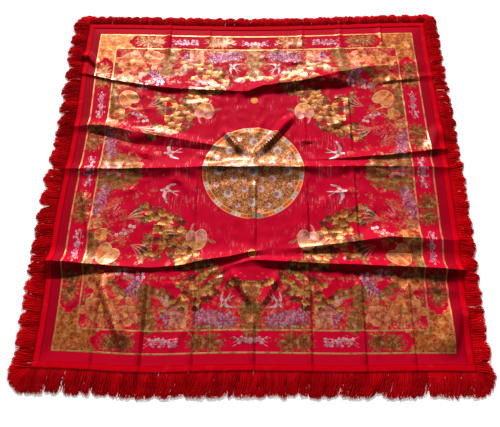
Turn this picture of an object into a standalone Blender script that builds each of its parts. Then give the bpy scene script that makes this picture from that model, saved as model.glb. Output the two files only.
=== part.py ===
"""A fringed square wrapping cloth of brocaded satin, lying unfolded on a flat surface.

The cloth was stored folded in four one way and in eight the other, so it lies in long
creased ridges. A flat heading tape is sewn along its hem, and a thick fringe hangs from
the tape all round. All lengths are in metres. +X is to the right and +Y is the far edge.
"""

import math
from collections import namedtuple

import bmesh
import bpy
import numpy as np

# Cloth
CLOTH_SIDE = 1.100
CLOTH_THICK = 0.0015
TAPE_WIDTH = 0.016
TAPE_THICK = 0.0010
SEAM_GAP = 0.0003
BUTT_GAP = 0.0005
HALF = CLOTH_SIDE / 2
TAPE_INNER = HALF - TAPE_WIDTH
NEAR, RIGHT, FAR, LEFT = 1, 2, 3, 4
TAPES = (("tape_near", NEAR), ("tape_right", RIGHT), ("tape_far", FAR), ("tape_left", LEFT))

# The long ridges run from the left hem to the right one. Each row of a table is one place
# along the ridge: its crest, the foot of its near side, its height, how far its far slope
# reaches, and how hollow the near side is (1 is a straight slope).
Station = namedtuple("Station", "x crest foot height reach hollow")

UPPER_FOLD = (
    Station(-0.550, 0.350, 0.341, 0.005, 0.05, 1.3),
    Station(-0.451, 0.322, 0.312, 0.007, 0.05, 1.3),
    Station(-0.361, 0.306, 0.294, 0.008, 0.06, 1.5),
    Station(-0.289, 0.291, 0.276, 0.009, 0.06, 1.6),
    Station(-0.090, 0.281, 0.258, 0.010, 0.06, 1.6),
    Station(-0.024, 0.276, 0.252, 0.011, 0.07, 1.5),
    Station(0.030, 0.296, 0.270, 0.015, 0.08, 1.2),
    Station(0.108, 0.306, 0.280, 0.019, 0.08, 1.0),
    Station(0.180, 0.319, 0.288, 0.023, 0.08, 1.0),
    Station(0.270, 0.341, 0.296, 0.024, 0.08, 1.0),
    Station(0.360, 0.363, 0.306, 0.018, 0.07, 1.0),
    Station(0.430, 0.374, 0.318, 0.007, 0.05, 1.0),
    Station(0.550, 0.380, 0.330, 0.001, 0.05, 1.0),
)
SECOND_FOLD = (
    Station(-0.550, 0.150, 0.136, 0.004, 0.04, 1.0),
    Station(-0.507, 0.152, 0.130, 0.011, 0.04, 1.0),
    Station(-0.450, 0.146, 0.1185, 0.016, 0.04, 1.0),
    Station(-0.383, 0.131, 0.097, 0.017, 0.04, 1.0),
    Station(-0.331, 0.121, 0.089, 0.016, 0.04, 1.0),
    Station(-0.229, 0.105, 0.081, 0.013, 0.04, 1.0),
    Station(-0.132, 0.087, 0.070, 0.008, 0.03, 1.0),
    Station(-0.076, 0.077, 0.064, 0.001, 0.02, 1.0),
    Station(0.060, 0.051, 0.040, 0.000, 0.03, 1.0),
    Station(0.153, 0.036, 0.024, 0.004, 0.03, 1.3),
    Station(0.287, 0.044, 0.028, 0.008, 0.04, 1.5),
    Station(0.383, 0.053, 0.034, 0.010, 0.04, 1.5),
    Station(0.450, 0.062, 0.042, 0.011, 0.04, 1.5),
    Station(0.531, 0.072, 0.053, 0.010, 0.04, 1.3),
    Station(0.550, 0.076, 0.060, 0.008, 0.04, 1.3),
)
MIDDLE_FOLD = (
    Station(-0.550, 0.006, -0.018, 0.006, 0.03, 1.6),
    Station(-0.500, 0.004, -0.030, 0.011, 0.04, 1.9),
    Station(-0.300, 0.004, -0.040, 0.014, 0.05, 2.0),
    Station(-0.210, 0.007, -0.040, 0.014, 0.05, 2.0),
    Station(-0.140, 0.010, -0.038, 0.015, 0.05, 2.0),
    Station(0.150, 0.011, -0.036, 0.015, 0.05, 2.0),
    Station(0.300, 0.014, -0.028, 0.013, 0.05, 2.0),
    Station(0.500, 0.015, -0.020, 0.010, 0.04, 1.8),
    Station(0.550, 0.012, -0.012, 0.007, 0.03, 1.5),
)
LOWER_FOLD = (
    Station(-0.550, -0.279, -0.325, 0.024, 0.05, 1.0),
    Station(-0.499, -0.281, -0.321, 0.026, 0.05, 1.0),
    Station(-0.440, -0.284, -0.308, 0.021, 0.05, 1.0),
    Station(-0.361, -0.287, -0.298, 0.013, 0.05, 1.0),
    Station(-0.268, -0.289, -0.300, 0.009, 0.04, 1.2),
    Station(-0.180, -0.281, -0.298, 0.012, 0.04, 1.4),
    Station(-0.120, -0.268, -0.288, 0.014, 0.04, 1.4),
    Station(-0.060, -0.259, -0.277, 0.012, 0.04, 1.3),
    Station(-0.010, -0.245, -0.262, 0.010, 0.04, 1.2),
    Station(0.050, -0.236, -0.249, 0.001, 0.03, 1.0),
    Station(0.110, -0.233, -0.245, 0.003, 0.03, 1.0),
    Station(0.180, -0.227, -0.246, 0.013, 0.05, 1.0),
    Station(0.300, -0.213, -0.243, 0.019, 0.05, 1.0),
    Station(0.364, -0.204, -0.243, 0.022, 0.05, 1.0),
    Station(0.450, -0.205, -0.244, 0.018, 0.05, 1.0),
    Station(0.550, -0.208, -0.244, 0.006, 0.04, 1.0),
)
LIP_FOLD = (
    Station(-0.550, -0.346, -0.358, 0.000, 0.01, 1.0),
    Station(-0.268, -0.322, -0.334, 0.000, 0.01, 1.0),
    Station(-0.134, -0.306, -0.318, 0.000, 0.01, 1.0),
    Station(-0.060, -0.282, -0.294, 0.002, 0.01, 1.2),
    Station(0.000, -0.267, -0.284, 0.008, 0.02, 1.4),
    Station(0.060, -0.271, -0.291, 0.014, 0.02, 1.5),
    Station(0.180, -0.277, -0.300, 0.018, 0.03, 1.5),
    Station(0.300, -0.281, -0.304, 0.019, 0.03, 1.5),
    Station(0.420, -0.287, -0.312, 0.020, 0.04, 1.4),
    Station(0.499, -0.291, -0.320, 0.020, 0.04, 1.3),
    Station(0.550, -0.294, -0.324, 0.016, 0.04, 1.2),
)
RIDGES = (LIP_FOLD, LOWER_FOLD, MIDDLE_FOLD, SECOND_FOLD, UPPER_FOLD)

# Short wrinkles and the creases across the ridges run from one point to another. The
# left side of that way has one width and the right side another. Start and end say how
# much of the height is left there: 0 where the wrinkle dies away, 1 where it meets a hem.
Wrinkle = namedtuple("Wrinkle", "x0 y0 x1 y1 height left right start end")

WRINKLES = (
    Wrinkle(0.140, 0.212, -0.002, 0.040, 0.015, 0.016, 0.022, 0.0, 0.0),
    Wrinkle(0.038, 0.196, 0.004, 0.112, 0.004, 0.012, 0.018, 0.0, 0.0),
    Wrinkle(-0.100, 0.150, -0.026, 0.052, 0.012, 0.018, 0.014, 0.0, 0.0),
    Wrinkle(-0.239, 0.005, -0.172, -0.080, 0.006, 0.020, 0.016, 0.0, 0.0),
    Wrinkle(-0.062, -0.284, 0.014, -0.406, 0.016, 0.018, 0.014, 0.2, 0.0),
    Wrinkle(0.078, -0.300, 0.016, -0.404, 0.012, 0.015, 0.022, 0.2, 0.0),
    Wrinkle(-0.408, -0.312, -0.316, -0.512, 0.019, 0.034, 0.020, 0.5, 0.0),
    Wrinkle(-0.498, -0.030, -0.432, -0.250, 0.009, 0.020, 0.012, 0.0, 0.0),
    Wrinkle(0.542, -0.360, 0.486, -0.534, 0.014, 0.028, 0.060, 0.0, 0.0),
    Wrinkle(-0.556, 0.440, -0.500, 0.370, 0.012, 0.018, 0.012, 0.0, 0.0),
    Wrinkle(0.550, 0.165, 0.500, 0.058, 0.011, 0.022, 0.030, 0.0, 0.0),
    Wrinkle(0.210, 0.150, 0.290, 0.178, 0.006, 0.024, 0.016, 0.0, 0.0),
    Wrinkle(-0.420, 0.085, -0.250, 0.030, 0.005, 0.022, 0.016, 0.0, 0.0),
    Wrinkle(0.330, 0.304, 0.560, 0.336, 0.006, 0.020, 0.009, 0.0, 0.8),
)

# The cloth was folded in eight across: the seven creases, and the stretches that still stand.
Crease = namedtuple("Crease", "x low high height side")

CREASES = (
    Crease(-0.406, -0.560, -0.360, 0.0069, 0.006),
    Crease(-0.281, -0.560, -0.300, 0.0115, 0.007),
    Crease(-0.281, 0.400, 0.560, 0.0057, 0.007),
    Crease(-0.150, -0.560, -0.330, 0.0080, 0.007),
    Crease(-0.150, 0.440, 0.560, 0.0034, 0.007),
    Crease(-0.165, -0.250, -0.010, 0.0069, 0.007),
    Crease(0.006, -0.560, -0.400, 0.0103, 0.007),
    Crease(0.004, -0.246, -0.010, 0.0103, 0.008),
    Crease(0.151, -0.560, -0.300, 0.0103, 0.007),
    Crease(0.151, -0.220, 0.000, 0.0092, 0.007),
    Crease(0.151, 0.040, 0.220, 0.0046, 0.007),
    Crease(0.151, 0.430, 0.560, 0.0034, 0.007),
    Crease(0.284, -0.560, -0.300, 0.0126, 0.008),
    Crease(0.284, -0.230, 0.020, 0.0092, 0.007),
    Crease(0.284, 0.055, 0.285, 0.0052, 0.007),
    Crease(0.275, 0.420, 0.560, 0.0046, 0.007),
    Crease(0.406, -0.560, -0.310, 0.0092, 0.007),
    Crease(0.406, 0.430, 0.560, 0.0040, 0.007),
)
CREASE_LEFT = 2.0  # how much wider the gentle left side of a crease is
CREASE_END = 0.045

# Slow swells between the creases. Where the sum falls below the surface the cloth lies flat.
SWELL_HEIGHT = 0.0028
SWELL_DROP = 0.0012
SWELL_X = 0.30
SWELL_Y = 0.26
SWELL_EDGE = 0.10
SWELL_KEEPS = 0.85  # share of a ridge that a hollow of the swell leaves standing

# Fringe. Every lock is a clump of yarn ends. Two locks meet at the strip and part below it.
LOCKS_STRAIGHT = 48
LOCKS_CORNER = 5
STRIP_WIDTH = 0.007
STRIP_THICK = 0.0025
EDGE_GAP = 0.0006
LOCK_PARTING = 0.0026
BELLY_AT = 0.60
TIP_SHARE = 0.62
FAN_SHARE = 0.86
BELLY_THICK = 0.0065
TIP_THICK = 0.0035
SIDE_SWAY = 0.011
SWAY_WAVE = 0.42
LENGTH_SPREAD = 0.14
SETTLE = 0.018  # the locks come down to the surface within this of the strip

# A run of fringe starts at a hem's corner. Direction is its turn from +X, in quarters.
Run = namedtuple("Run", "name quarter length next_length")

RUNS = (
    Run("fringe_near", 0, 0.064, 0.046),
    Run("fringe_right", 1, 0.046, 0.036),
    Run("fringe_far", 2, 0.036, 0.056),
    Run("fringe_left", 3, 0.056, 0.064),
)

# Sheet grid: columns beside each crease, and the rows let in between two guide lines
COLUMN_STEP = 0.040
CREASE_COLUMNS = (-0.406, -0.281, -0.150, 0.006, 0.151, 0.284, 0.406)
CREASE_SIDE = 0.007
ROWS_BETWEEN = (0, 5, 0, 1, 0, 4, 2, 1, 0, 5, 0, 4, 0)


def clear_scene():
    for obj in list(bpy.data.objects):
        bpy.data.objects.remove(obj)


def ease(value):
    """0 below 0, 1 above 1, and a smooth rise between."""
    t = np.clip(value, 0.0, 1.0)
    return t * t * (3.0 - 2.0 * t)


def along(stations, field, x):
    return np.interp(x, [s.x for s in stations], [getattr(s, field) for s in stations])


def ridge_height(stations, x, y):
    """A crest with a hollow slope behind it and a straight or hollow one before it."""
    crest = along(stations, "crest", x)
    behind = np.clip((y - crest) / along(stations, "reach", x), 0.0, 1.0)
    before = np.clip((crest - y) / (crest - along(stations, "foot", x)), 0.0, 1.0)
    near = (1.0 - before) ** along(stations, "hollow", x)
    side = np.where(y >= crest, (1.0 - behind) ** 2, near)
    return along(stations, "height", x) * side


def wrinkle_height(w, x, y):
    length = math.hypot(w.x1 - w.x0, w.y1 - w.y0)
    ux, uy = (w.x1 - w.x0) / length, (w.y1 - w.y0) / length
    share = ((x - w.x0) * ux + (y - w.y0) * uy) / length
    aside = (y - w.y0) * ux - (x - w.x0) * uy
    rise = w.start + (1.0 - w.start) * ease(share * 3.0)
    fall = w.end + (1.0 - w.end) * ease((1.0 - share) * 3.0)
    inside = (share > 0.0) & (share < 1.0)
    width = np.where(aside > 0.0, w.left, w.right)
    slope = ease(1.0 - np.abs(aside) / width)
    return np.where(inside, w.height * rise * fall * slope, 0.0)


def crease_height(c, x, y):
    inside = ease((y - c.low) / CREASE_END) * ease((c.high - y) / CREASE_END)
    side = np.where(x > c.x, c.side, c.side * CREASE_LEFT)
    slope = np.clip(1.0 - np.abs(x - c.x) / side, 0.0, 1.0)
    return c.height * inside * slope


def swell_height(x, y):
    turn = 2.0 * math.pi
    first = np.sin(turn * x / SWELL_X + 1.1 + 0.9 * np.sin(turn * y / 0.61))
    second = np.sin(turn * y / SWELL_Y + 0.4 + 1.1 * np.sin(turn * x / 0.53))
    inland = ease((HALF - np.maximum(np.abs(x), np.abs(y))) / SWELL_EDGE)
    return SWELL_HEIGHT * first * second * inland - SWELL_DROP


def lift(x, y):
    """Height of the cloth's underside over the surface, 0 where it lies flat.

    The stiff tape keeps its ring of the sheet level from its inner edge out to the hem.
    """
    x = np.clip(np.asarray(x, float), -TAPE_INNER, TAPE_INNER)
    y = np.clip(np.asarray(y, float), -TAPE_INNER, TAPE_INNER)
    high = np.maximum.reduce([ridge_height(table, x, y) for table in RIDGES])
    high = high + sum(wrinkle_height(w, x, y) for w in WRINKLES)
    high = high + sum(crease_height(c, x, y) for c in CREASES)
    return np.maximum(high + swell_height(x, y), high * SWELL_KEEPS)


def outline_shift(x, y):
    """How far the uneven outline pulls a point of the true square aside."""
    far = ease((y - 0.15) / 0.40)
    near = ease((-y - 0.15) / 0.40)
    right = ease((x - 0.15) / 0.40)
    left = ease((-x - 0.15) / 0.40)
    dy = -0.013 * far * np.cos(math.pi * np.clip(x, -HALF, HALF) / CLOTH_SIDE) ** 2
    dy = dy - 0.009 * near * np.exp(-(((x + 0.27) / 0.16) ** 2))
    dy = dy + 0.006 * near * ease((x - 0.20) / 0.30)
    dx = 0.009 * right * np.cos(math.pi * np.clip(y, -HALF, HALF) / CLOTH_SIDE) ** 2
    dx = dx + 0.004 * left * np.sin(2.0 * math.pi * y / 0.62)
    return dx, dy


def laid(x, y):
    dx, dy = outline_shift(np.asarray(x, float), np.asarray(y, float))
    return x + dx, y + dy


def columns():
    """Lines across the cloth: hems, tape edges, each crease with its two flanks, and fillers."""
    kept = {-HALF, -TAPE_INNER, TAPE_INNER, HALF}
    for x in CREASE_COLUMNS:
        kept |= {x - CREASE_SIDE, x, x + CREASE_SIDE}
    kept = sorted(kept)
    filled = []
    for low, high in zip(kept, kept[1:]):
        steps = max(1, round((high - low) / COLUMN_STEP))
        filled += [low + (high - low) * k / steps for k in range(steps)]
    return np.array(filled + [HALF])


def guide_rows(x):
    """The lines that the rows must follow, near hem first: hems, tape edges, feet and crests."""
    flat = np.ones_like(x)
    guides = [-HALF * flat, -TAPE_INNER * flat]
    for table in RIDGES:
        guides += [along(table, "foot", x), along(table, "crest", x)]
    return guides + [TAPE_INNER * flat, HALF * flat]


def rows(x):
    """One array of y for each row of the sheet's grid, at the columns x."""
    guides = guide_rows(x)
    found = []
    for low, high, between in zip(guides, guides[1:], ROWS_BETWEEN):
        for k in range(between + 1):
            found.append(low + (high - low) * (k / (between + 1)) ** 1.15)
    return found + [guides[-1]]


def new_object(name, mesh, material, collection, parent):
    obj = bpy.data.objects.new(name, mesh)
    collection.objects.link(obj)
    obj.parent = parent
    mesh.materials.append(material)
    return obj


def new_material(name, colour, roughness):
    material = bpy.data.materials.new(name)
    material.use_nodes = True
    shader = material.node_tree.nodes["Principled BSDF"]
    shader.inputs["Base Color"].default_value = (*colour, 1.0)
    shader.inputs["Roughness"].default_value = roughness
    shader.inputs["Metallic"].default_value = 0.0
    return material


def folded_surface():
    """The underside of the cloth as a triangulated grid, its rows drawn along the ridges."""
    x = columns()
    grid_y = rows(x)
    bpy.ops.mesh.primitive_grid_add(
        x_subdivisions=len(x) - 1, y_subdivisions=len(grid_y) - 1, size=CLOTH_SIDE
    )
    grid = bpy.context.object
    mesh = grid.data
    count = len(x)
    for vertex in mesh.vertices:
        row, column = divmod(vertex.index, count)
        flat_x, flat_y = x[column], grid_y[row][column]
        laid_x, laid_y = laid(flat_x, flat_y)
        vertex.co = (laid_x, laid_y, float(lift(flat_x, flat_y)))
    form = bmesh.new()
    form.from_mesh(mesh)
    sides = form.faces.layers.int.new("side")
    for face in form.faces:
        cells = [divmod(v.index, count) for v in face.verts]
        row, column = min(c[0] for c in cells), min(c[1] for c in cells)
        if row in (0, len(grid_y) - 2):
            face[sides] = NEAR if row == 0 else FAR
        elif column in (0, count - 2):
            face[sides] = LEFT if column == 0 else RIGHT
    bmesh.ops.triangulate(form, faces=form.faces[:])
    form.to_mesh(mesh)
    form.free()
    bpy.data.objects.remove(grid)
    return mesh


def thicken(obj, thickness):
    solid = obj.modifiers.new("thickness", "SOLIDIFY")
    solid.thickness = thickness
    solid.offset = 1.0
    solid.use_rim = True
    return solid


def build_cloth(surface, material, collection, parent):
    cloth = new_object("cloth", surface, material, collection, parent)
    thicken(cloth, CLOTH_THICK)
    return cloth


def build_tape(name, side, surface, material, collection, parent):
    """One length of heading tape: cells of the sheet's outer ring, clear of its upper face.

    The near and far lengths run from hem to hem, and the other two butt against them.
    """
    mesh = surface.copy()
    mesh.name = name
    mesh.materials.clear()
    normals = [v.normal.copy() for v in mesh.vertices]
    for vertex, normal in zip(mesh.vertices, normals):
        vertex.co += normal * (CLOTH_THICK + SEAM_GAP)
    form = bmesh.new()
    form.from_mesh(mesh)
    sides = form.faces.layers.int["side"]
    others = [face for face in form.faces if face[sides] != side]
    bmesh.ops.delete(form, geom=others, context="FACES")
    if side in (LEFT, RIGHT):
        ends = sorted(form.verts, key=lambda v: v.co.y)
        for vertex in ends[:2]:
            vertex.co.y += BUTT_GAP
        for vertex in ends[-2:]:
            vertex.co.y -= BUTT_GAP
    form.to_mesh(mesh)
    form.free()
    tape = new_object(name, mesh, material, collection, parent)
    thicken(tape, TAPE_THICK)
    return tape


def turned(quarter, forward, outward):
    """A run's own axes, forward along the hem and outward from it, laid on the cloth's."""
    angle = quarter * math.pi / 2.0
    c, s = math.cos(angle), math.sin(angle)
    return forward * c + outward * s, forward * s - outward * c


def spread(number, seed):
    """A number from -1 to 1 that looks random and is the same each time."""
    return 2.0 * math.modf(abs(math.sin(number * 12.9898 + seed * 78.233)) * 43758.5453)[0] - 1.0


def lock_length(run, index):
    short = 0.5 + 0.5 * spread(index, run.quarter + 1)
    return run.length * (1.0 - LENGTH_SPREAD * short)


def sway(run, forward):
    """How far the locks' ends are brushed along the hem, nothing at its two corners."""
    wave = math.sin(2.0 * math.pi * forward / SWAY_WAVE + 1.7 * run.quarter)
    return SIDE_SWAY * wave * (1.0 - (abs(forward) / HALF) ** 4)


class FringeRun:
    """One length of fringe: a narrow strip along the hem with its locks fused to it."""

    def __init__(self, run):
        self.run = run
        self.form = bmesh.new()
        self.thick = self.form.verts.layers.float.new("thick")

    def point(self, forward, outward, thick):
        x, y = turned(self.run.quarter, forward, HALF + outward)
        past = math.hypot(max(abs(x) - HALF, 0.0), max(abs(y) - HALF, 0.0))
        held = 1.0 - float(ease((past - STRIP_WIDTH) / SETTLE))
        vertex = self.form.verts.new((*laid(x, y), float(lift(x, y)) * held))
        vertex[self.thick] = thick
        return vertex

    def lock(self, left_root, right_root, belly, tip):
        """Two quads from the root to the tip, each side given as (forward, outward)."""
        belly_left, belly_right = [self.point(*place, BELLY_THICK) for place in belly]
        tip_left, tip_right = [self.point(*place, TIP_THICK) for place in tip]
        self.form.faces.new((left_root, belly_left, belly_right, right_root))
        self.form.faces.new((belly_left, tip_left, tip_right, belly_right))

    def straight(self):
        pitch = CLOTH_SIDE / LOCKS_STRAIGHT
        inner = self.point(-HALF, EDGE_GAP, STRIP_THICK)
        outer = self.point(-HALF, EDGE_GAP + STRIP_WIDTH, STRIP_THICK)
        for index in range(LOCKS_STRAIGHT):
            middle = -HALF + pitch * (index + 0.5)
            next_inner = self.point(middle + pitch / 2, EDGE_GAP, STRIP_THICK)
            next_outer = self.point(middle + pitch / 2, EDGE_GAP + STRIP_WIDTH, STRIP_THICK)
            self.form.faces.new((inner, outer, next_outer, next_inner))
            length = lock_length(self.run, index)
            reach = STRIP_WIDTH + (length - STRIP_WIDTH) * BELLY_AT
            belly, tip = [], []
            for side in (-1, 1):
                edge = middle + side * (pitch - LOCK_PARTING) / 2
                belly.append((edge + sway(self.run, edge) * (reach / length) ** 2, reach))
                end = middle + side * (pitch - LOCK_PARTING) / 2 * TIP_SHARE
                tip.append((end + sway(self.run, end), length))
            self.lock(outer, next_outer, belly, tip)
            inner, outer = next_inner, next_outer
        return inner, outer

    def corner(self, inner, outer):
        """Locks fanned round the hem's corner, their strip a fan about one point."""
        apex = self.point(HALF + EDGE_GAP, EDGE_GAP, STRIP_THICK)
        root = self.point(HALF + EDGE_GAP, EDGE_GAP + STRIP_WIDTH, STRIP_THICK)
        self.form.faces.new((inner, outer, root, apex))
        step = math.pi / 2.0 / LOCKS_CORNER
        for index in range(LOCKS_CORNER):
            share = (index + 0.5) / LOCKS_CORNER
            length = self.run.length * (1.0 - share) + self.run.next_length * share
            reach = STRIP_WIDTH + (length - STRIP_WIDTH) * BELLY_AT
            half = step * FAN_SHARE / 2.0
            middle = step * (index + 0.5)
            next_root = self.fan_point(step * (index + 1), STRIP_WIDTH, STRIP_THICK)
            self.form.faces.new((apex, root, next_root))
            belly = [self.fan_place(middle + side * half, reach) for side in (-1, 1)]
            tip = [self.fan_place(middle + side * half * TIP_SHARE, length) for side in (-1, 1)]
            self.lock(root, next_root, belly, tip)
            root = next_root

    def fan_place(self, angle, radius):
        forward = HALF + EDGE_GAP + radius * math.sin(angle)
        return forward, EDGE_GAP + radius * math.cos(angle)

    def fan_point(self, angle, radius, thick):
        return self.point(*self.fan_place(angle, radius), thick)

    def finish(self, material, collection, parent):
        """Give the plan its thickness: the lower faces stay, and a copy is raised over them."""
        form = self.form
        bmesh.ops.triangulate(form, faces=form.faces[:])
        bmesh.ops.recalc_face_normals(form, faces=form.faces[:])
        lower = form.faces[:]
        if sum(face.normal.z for face in lower) > 0.0:
            bmesh.ops.reverse_faces(form, faces=lower)
        raised = bmesh.ops.extrude_face_region(form, geom=lower, use_keep_orig=True)
        for item in raised["geom"]:
            if isinstance(item, bmesh.types.BMVert):
                item.co.z += item[self.thick]
        bmesh.ops.recalc_face_normals(form, faces=form.faces[:])
        mesh = bpy.data.meshes.new(self.run.name)
        form.to_mesh(mesh)
        form.free()
        return new_object(self.run.name, mesh, material, collection, parent)


def build_fringe(run, material, collection, parent):
    fringe = FringeRun(run)
    inner, outer = fringe.straight()
    fringe.corner(inner, outer)
    return fringe.finish(material, collection, parent)


def centre_footprint(fringes, place):
    """Move everything so that the middle of its footprint is at the origin."""
    corners = np.array([tuple(v.co) for fringe in fringes for v in fringe.data.vertices])
    low, high = corners.min(axis=0), corners.max(axis=0)
    place.location = (-(low[0] + high[0]) / 2, -(low[1] + high[1]) / 2, 0.0)
    print("middle of the footprint moved by", tuple(place.location))


def main():
    clear_scene()
    collection = bpy.data.collections.new("wrapping_cloth")
    bpy.context.scene.collection.children.link(collection)
    place = bpy.data.objects.new("place", None)
    collection.objects.link(place)
    satin = new_material("satin", (0.56, 0.01, 0.03), 0.35)
    braid = new_material("braid", (0.75, 0.01, 0.02), 0.55)
    yarn = new_material("yarn", (0.50, 0.004, 0.01), 0.65)
    surface = folded_surface()
    for name, side in TAPES:
        build_tape(name, side, surface, braid, collection, place)
    build_cloth(surface, satin, collection, place)
    fringes = [build_fringe(run, yarn, collection, place) for run in RUNS]
    centre_footprint(fringes, place)


main()
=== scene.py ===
# %% [markdown]
# # A fringed brocade wrapping cloth
# The imported model is loaded first. It is the frame that every piece below lies in.

# %% Load the frame
import math
from collections import namedtuple

import bpy
import numpy as np
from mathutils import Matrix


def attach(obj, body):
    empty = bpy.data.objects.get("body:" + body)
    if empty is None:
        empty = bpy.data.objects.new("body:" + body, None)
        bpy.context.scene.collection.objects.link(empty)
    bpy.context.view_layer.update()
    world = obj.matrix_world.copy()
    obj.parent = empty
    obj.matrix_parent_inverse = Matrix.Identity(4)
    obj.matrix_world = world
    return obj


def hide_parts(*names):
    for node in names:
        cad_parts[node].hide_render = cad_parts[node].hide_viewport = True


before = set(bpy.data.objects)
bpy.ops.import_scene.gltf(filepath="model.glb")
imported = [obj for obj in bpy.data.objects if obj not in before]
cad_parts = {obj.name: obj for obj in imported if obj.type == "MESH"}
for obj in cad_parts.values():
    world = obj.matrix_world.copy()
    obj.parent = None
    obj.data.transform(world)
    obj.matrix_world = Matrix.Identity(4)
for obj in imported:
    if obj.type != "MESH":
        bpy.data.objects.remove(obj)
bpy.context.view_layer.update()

for shown in bpy.context.selected_objects:
    shown.select_set(False)
print("frame nodes:", sorted(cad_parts))

# %% [markdown]
# ## Camera, light and floor
# The camera is above the near edge and looks far downwards. The light is one broad soft
# source a long way beyond the far edge and a little to the left, so it is as strong at the
# near hem as at the far one. It comes in low, so the slopes that face it shine and the near
# side of each fold is in shade. A smaller lamp beside it would give hard shadows, and a
# light overhead would hide the folds. The sky is nearly dark, so the reds stay deep.

# %% Camera
from mathutils import Matrix

MIDDLE = (0.00264, 0.01657)  # where the middle of the woven square lies in the frame
CAMERA_PLACE = (MIDDLE[0] + 0.0342, MIDDLE[1] - 0.6535, 1.2737)
CAMERA_TILT = 22.39
CAMERA_TURN = 4.51
CAMERA_ROLL = -3.81
CAMERA_LENS = 35.46

aim = Matrix.Rotation(math.radians(CAMERA_TURN), 3, "Z")
aim = aim @ Matrix.Rotation(math.radians(CAMERA_TILT), 3, "X")
aim = aim @ Matrix.Rotation(math.radians(CAMERA_ROLL), 3, "Z")
bpy.ops.object.camera_add(location=CAMERA_PLACE, rotation=aim.to_euler())
camera = bpy.context.object
camera.name = "camera"
camera.data.sensor_width = 36.0
camera.data.sensor_fit = "HORIZONTAL"
camera.data.lens = CAMERA_LENS
bpy.context.scene.camera = camera
print("camera at", tuple(round(v, 3) for v in camera.location))

# %% Light and floor
KEY_PLACE = (-2.11, 13.52, 8.31)
KEY_SIZE = 3.2
KEY_WATTS = 3900.0
FILL_PLACE = (1.3, -1.0, 2.2)
FILL_SIZE = 2.0
FILL_WATTS = 1.5
WORLD_COLOUR = (1.0, 0.99, 0.97, 1.0)
WORLD_LEVEL = 0.03
FLOOR_SIZE = 12.0
FLOOR_DROP = 0.0004


def soft_light(name, location, size, watts):
    """A square area light turned to the middle of the cloth."""
    bpy.ops.object.light_add(type="AREA", location=location)
    light = bpy.context.object
    light.name = name
    light.data.shape = "SQUARE"
    light.data.size = size
    light.data.energy = watts
    aim = light.location.copy()
    aim.negate()
    light.rotation_euler = aim.to_track_quat("-Z", "Y").to_euler()
    return light


soft_light("key", KEY_PLACE, KEY_SIZE, KEY_WATTS)
soft_light("fill", FILL_PLACE, FILL_SIZE, FILL_WATTS)

world = bpy.data.worlds.new("studio")
bpy.context.scene.world = world
world.use_nodes = True
sky = world.node_tree.nodes["Background"]
sky.inputs["Color"].default_value = WORLD_COLOUR
sky.inputs["Strength"].default_value = WORLD_LEVEL
bpy.context.scene.view_settings.view_transform = "Standard"

bpy.ops.mesh.primitive_plane_add(size=FLOOR_SIZE, location=(0.0, 0.0, -FLOOR_DROP))
floor = bpy.context.object
floor.name = "floor"
print("floor and two lights added")

# %% [markdown]
# ## The folds
# The cloth was stored folded in four and then in eight. Laid open, it keeps one long ridge
# for each of the first folds and a faint upright crease for each of the others. A fold is a
# row of places along its crest: where the crest and the foot of its steep near side are,
# how high it stands, how far its long far slope reaches, and how hollow its near side is.
# A cloth simulation gives soft random waves here, but not these set creases, so they are
# listed one by one.

# %% Sizes and tables of the folds
SIDE = 1.100
HALF = SIDE / 2
TAPE_WIDTH = 0.016
TAPE_INNER = HALF - TAPE_WIDTH
CLOTH_THICK = 0.0013
TAPE_GAP = 0.0003
TAPE_THICK = 0.0010

Station = namedtuple("Station", "x crest foot height reach hollow")

UPPER_FOLD = (
    Station(-0.550, 0.350, 0.341, 0.005, 0.05, 1.3),
    Station(-0.451, 0.322, 0.312, 0.007, 0.05, 1.3),
    Station(-0.361, 0.306, 0.294, 0.008, 0.06, 1.5),
    Station(-0.289, 0.291, 0.276, 0.009, 0.06, 1.6),
    Station(-0.090, 0.281, 0.258, 0.010, 0.06, 1.6),
    Station(-0.024, 0.276, 0.252, 0.011, 0.07, 1.5),
    Station(0.030, 0.296, 0.270, 0.015, 0.08, 1.2),
    Station(0.108, 0.306, 0.280, 0.019, 0.08, 1.0),
    Station(0.180, 0.319, 0.288, 0.023, 0.08, 1.0),
    Station(0.270, 0.341, 0.296, 0.024, 0.08, 1.0),
    Station(0.360, 0.363, 0.306, 0.018, 0.07, 1.0),
    Station(0.430, 0.374, 0.318, 0.007, 0.05, 1.0),
    Station(0.550, 0.380, 0.330, 0.001, 0.05, 1.0),
)
SECOND_FOLD = (
    Station(-0.550, 0.150, 0.136, 0.004, 0.04, 1.0),
    Station(-0.507, 0.152, 0.130, 0.011, 0.04, 1.0),
    Station(-0.450, 0.146, 0.1185, 0.016, 0.04, 1.0),
    Station(-0.383, 0.131, 0.097, 0.017, 0.04, 1.0),
    Station(-0.331, 0.121, 0.089, 0.016, 0.04, 1.0),
    Station(-0.229, 0.105, 0.081, 0.013, 0.04, 1.0),
    Station(-0.132, 0.087, 0.070, 0.008, 0.03, 1.0),
    Station(-0.076, 0.077, 0.064, 0.001, 0.02, 1.0),
    Station(0.060, 0.051, 0.040, 0.000, 0.03, 1.0),
    Station(0.153, 0.036, 0.024, 0.004, 0.03, 1.3),
    Station(0.287, 0.044, 0.028, 0.008, 0.04, 1.5),
    Station(0.383, 0.053, 0.034, 0.010, 0.04, 1.5),
    Station(0.450, 0.062, 0.042, 0.011, 0.04, 1.5),
    Station(0.531, 0.072, 0.053, 0.010, 0.04, 1.3),
    Station(0.550, 0.076, 0.060, 0.008, 0.04, 1.3),
)
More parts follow.
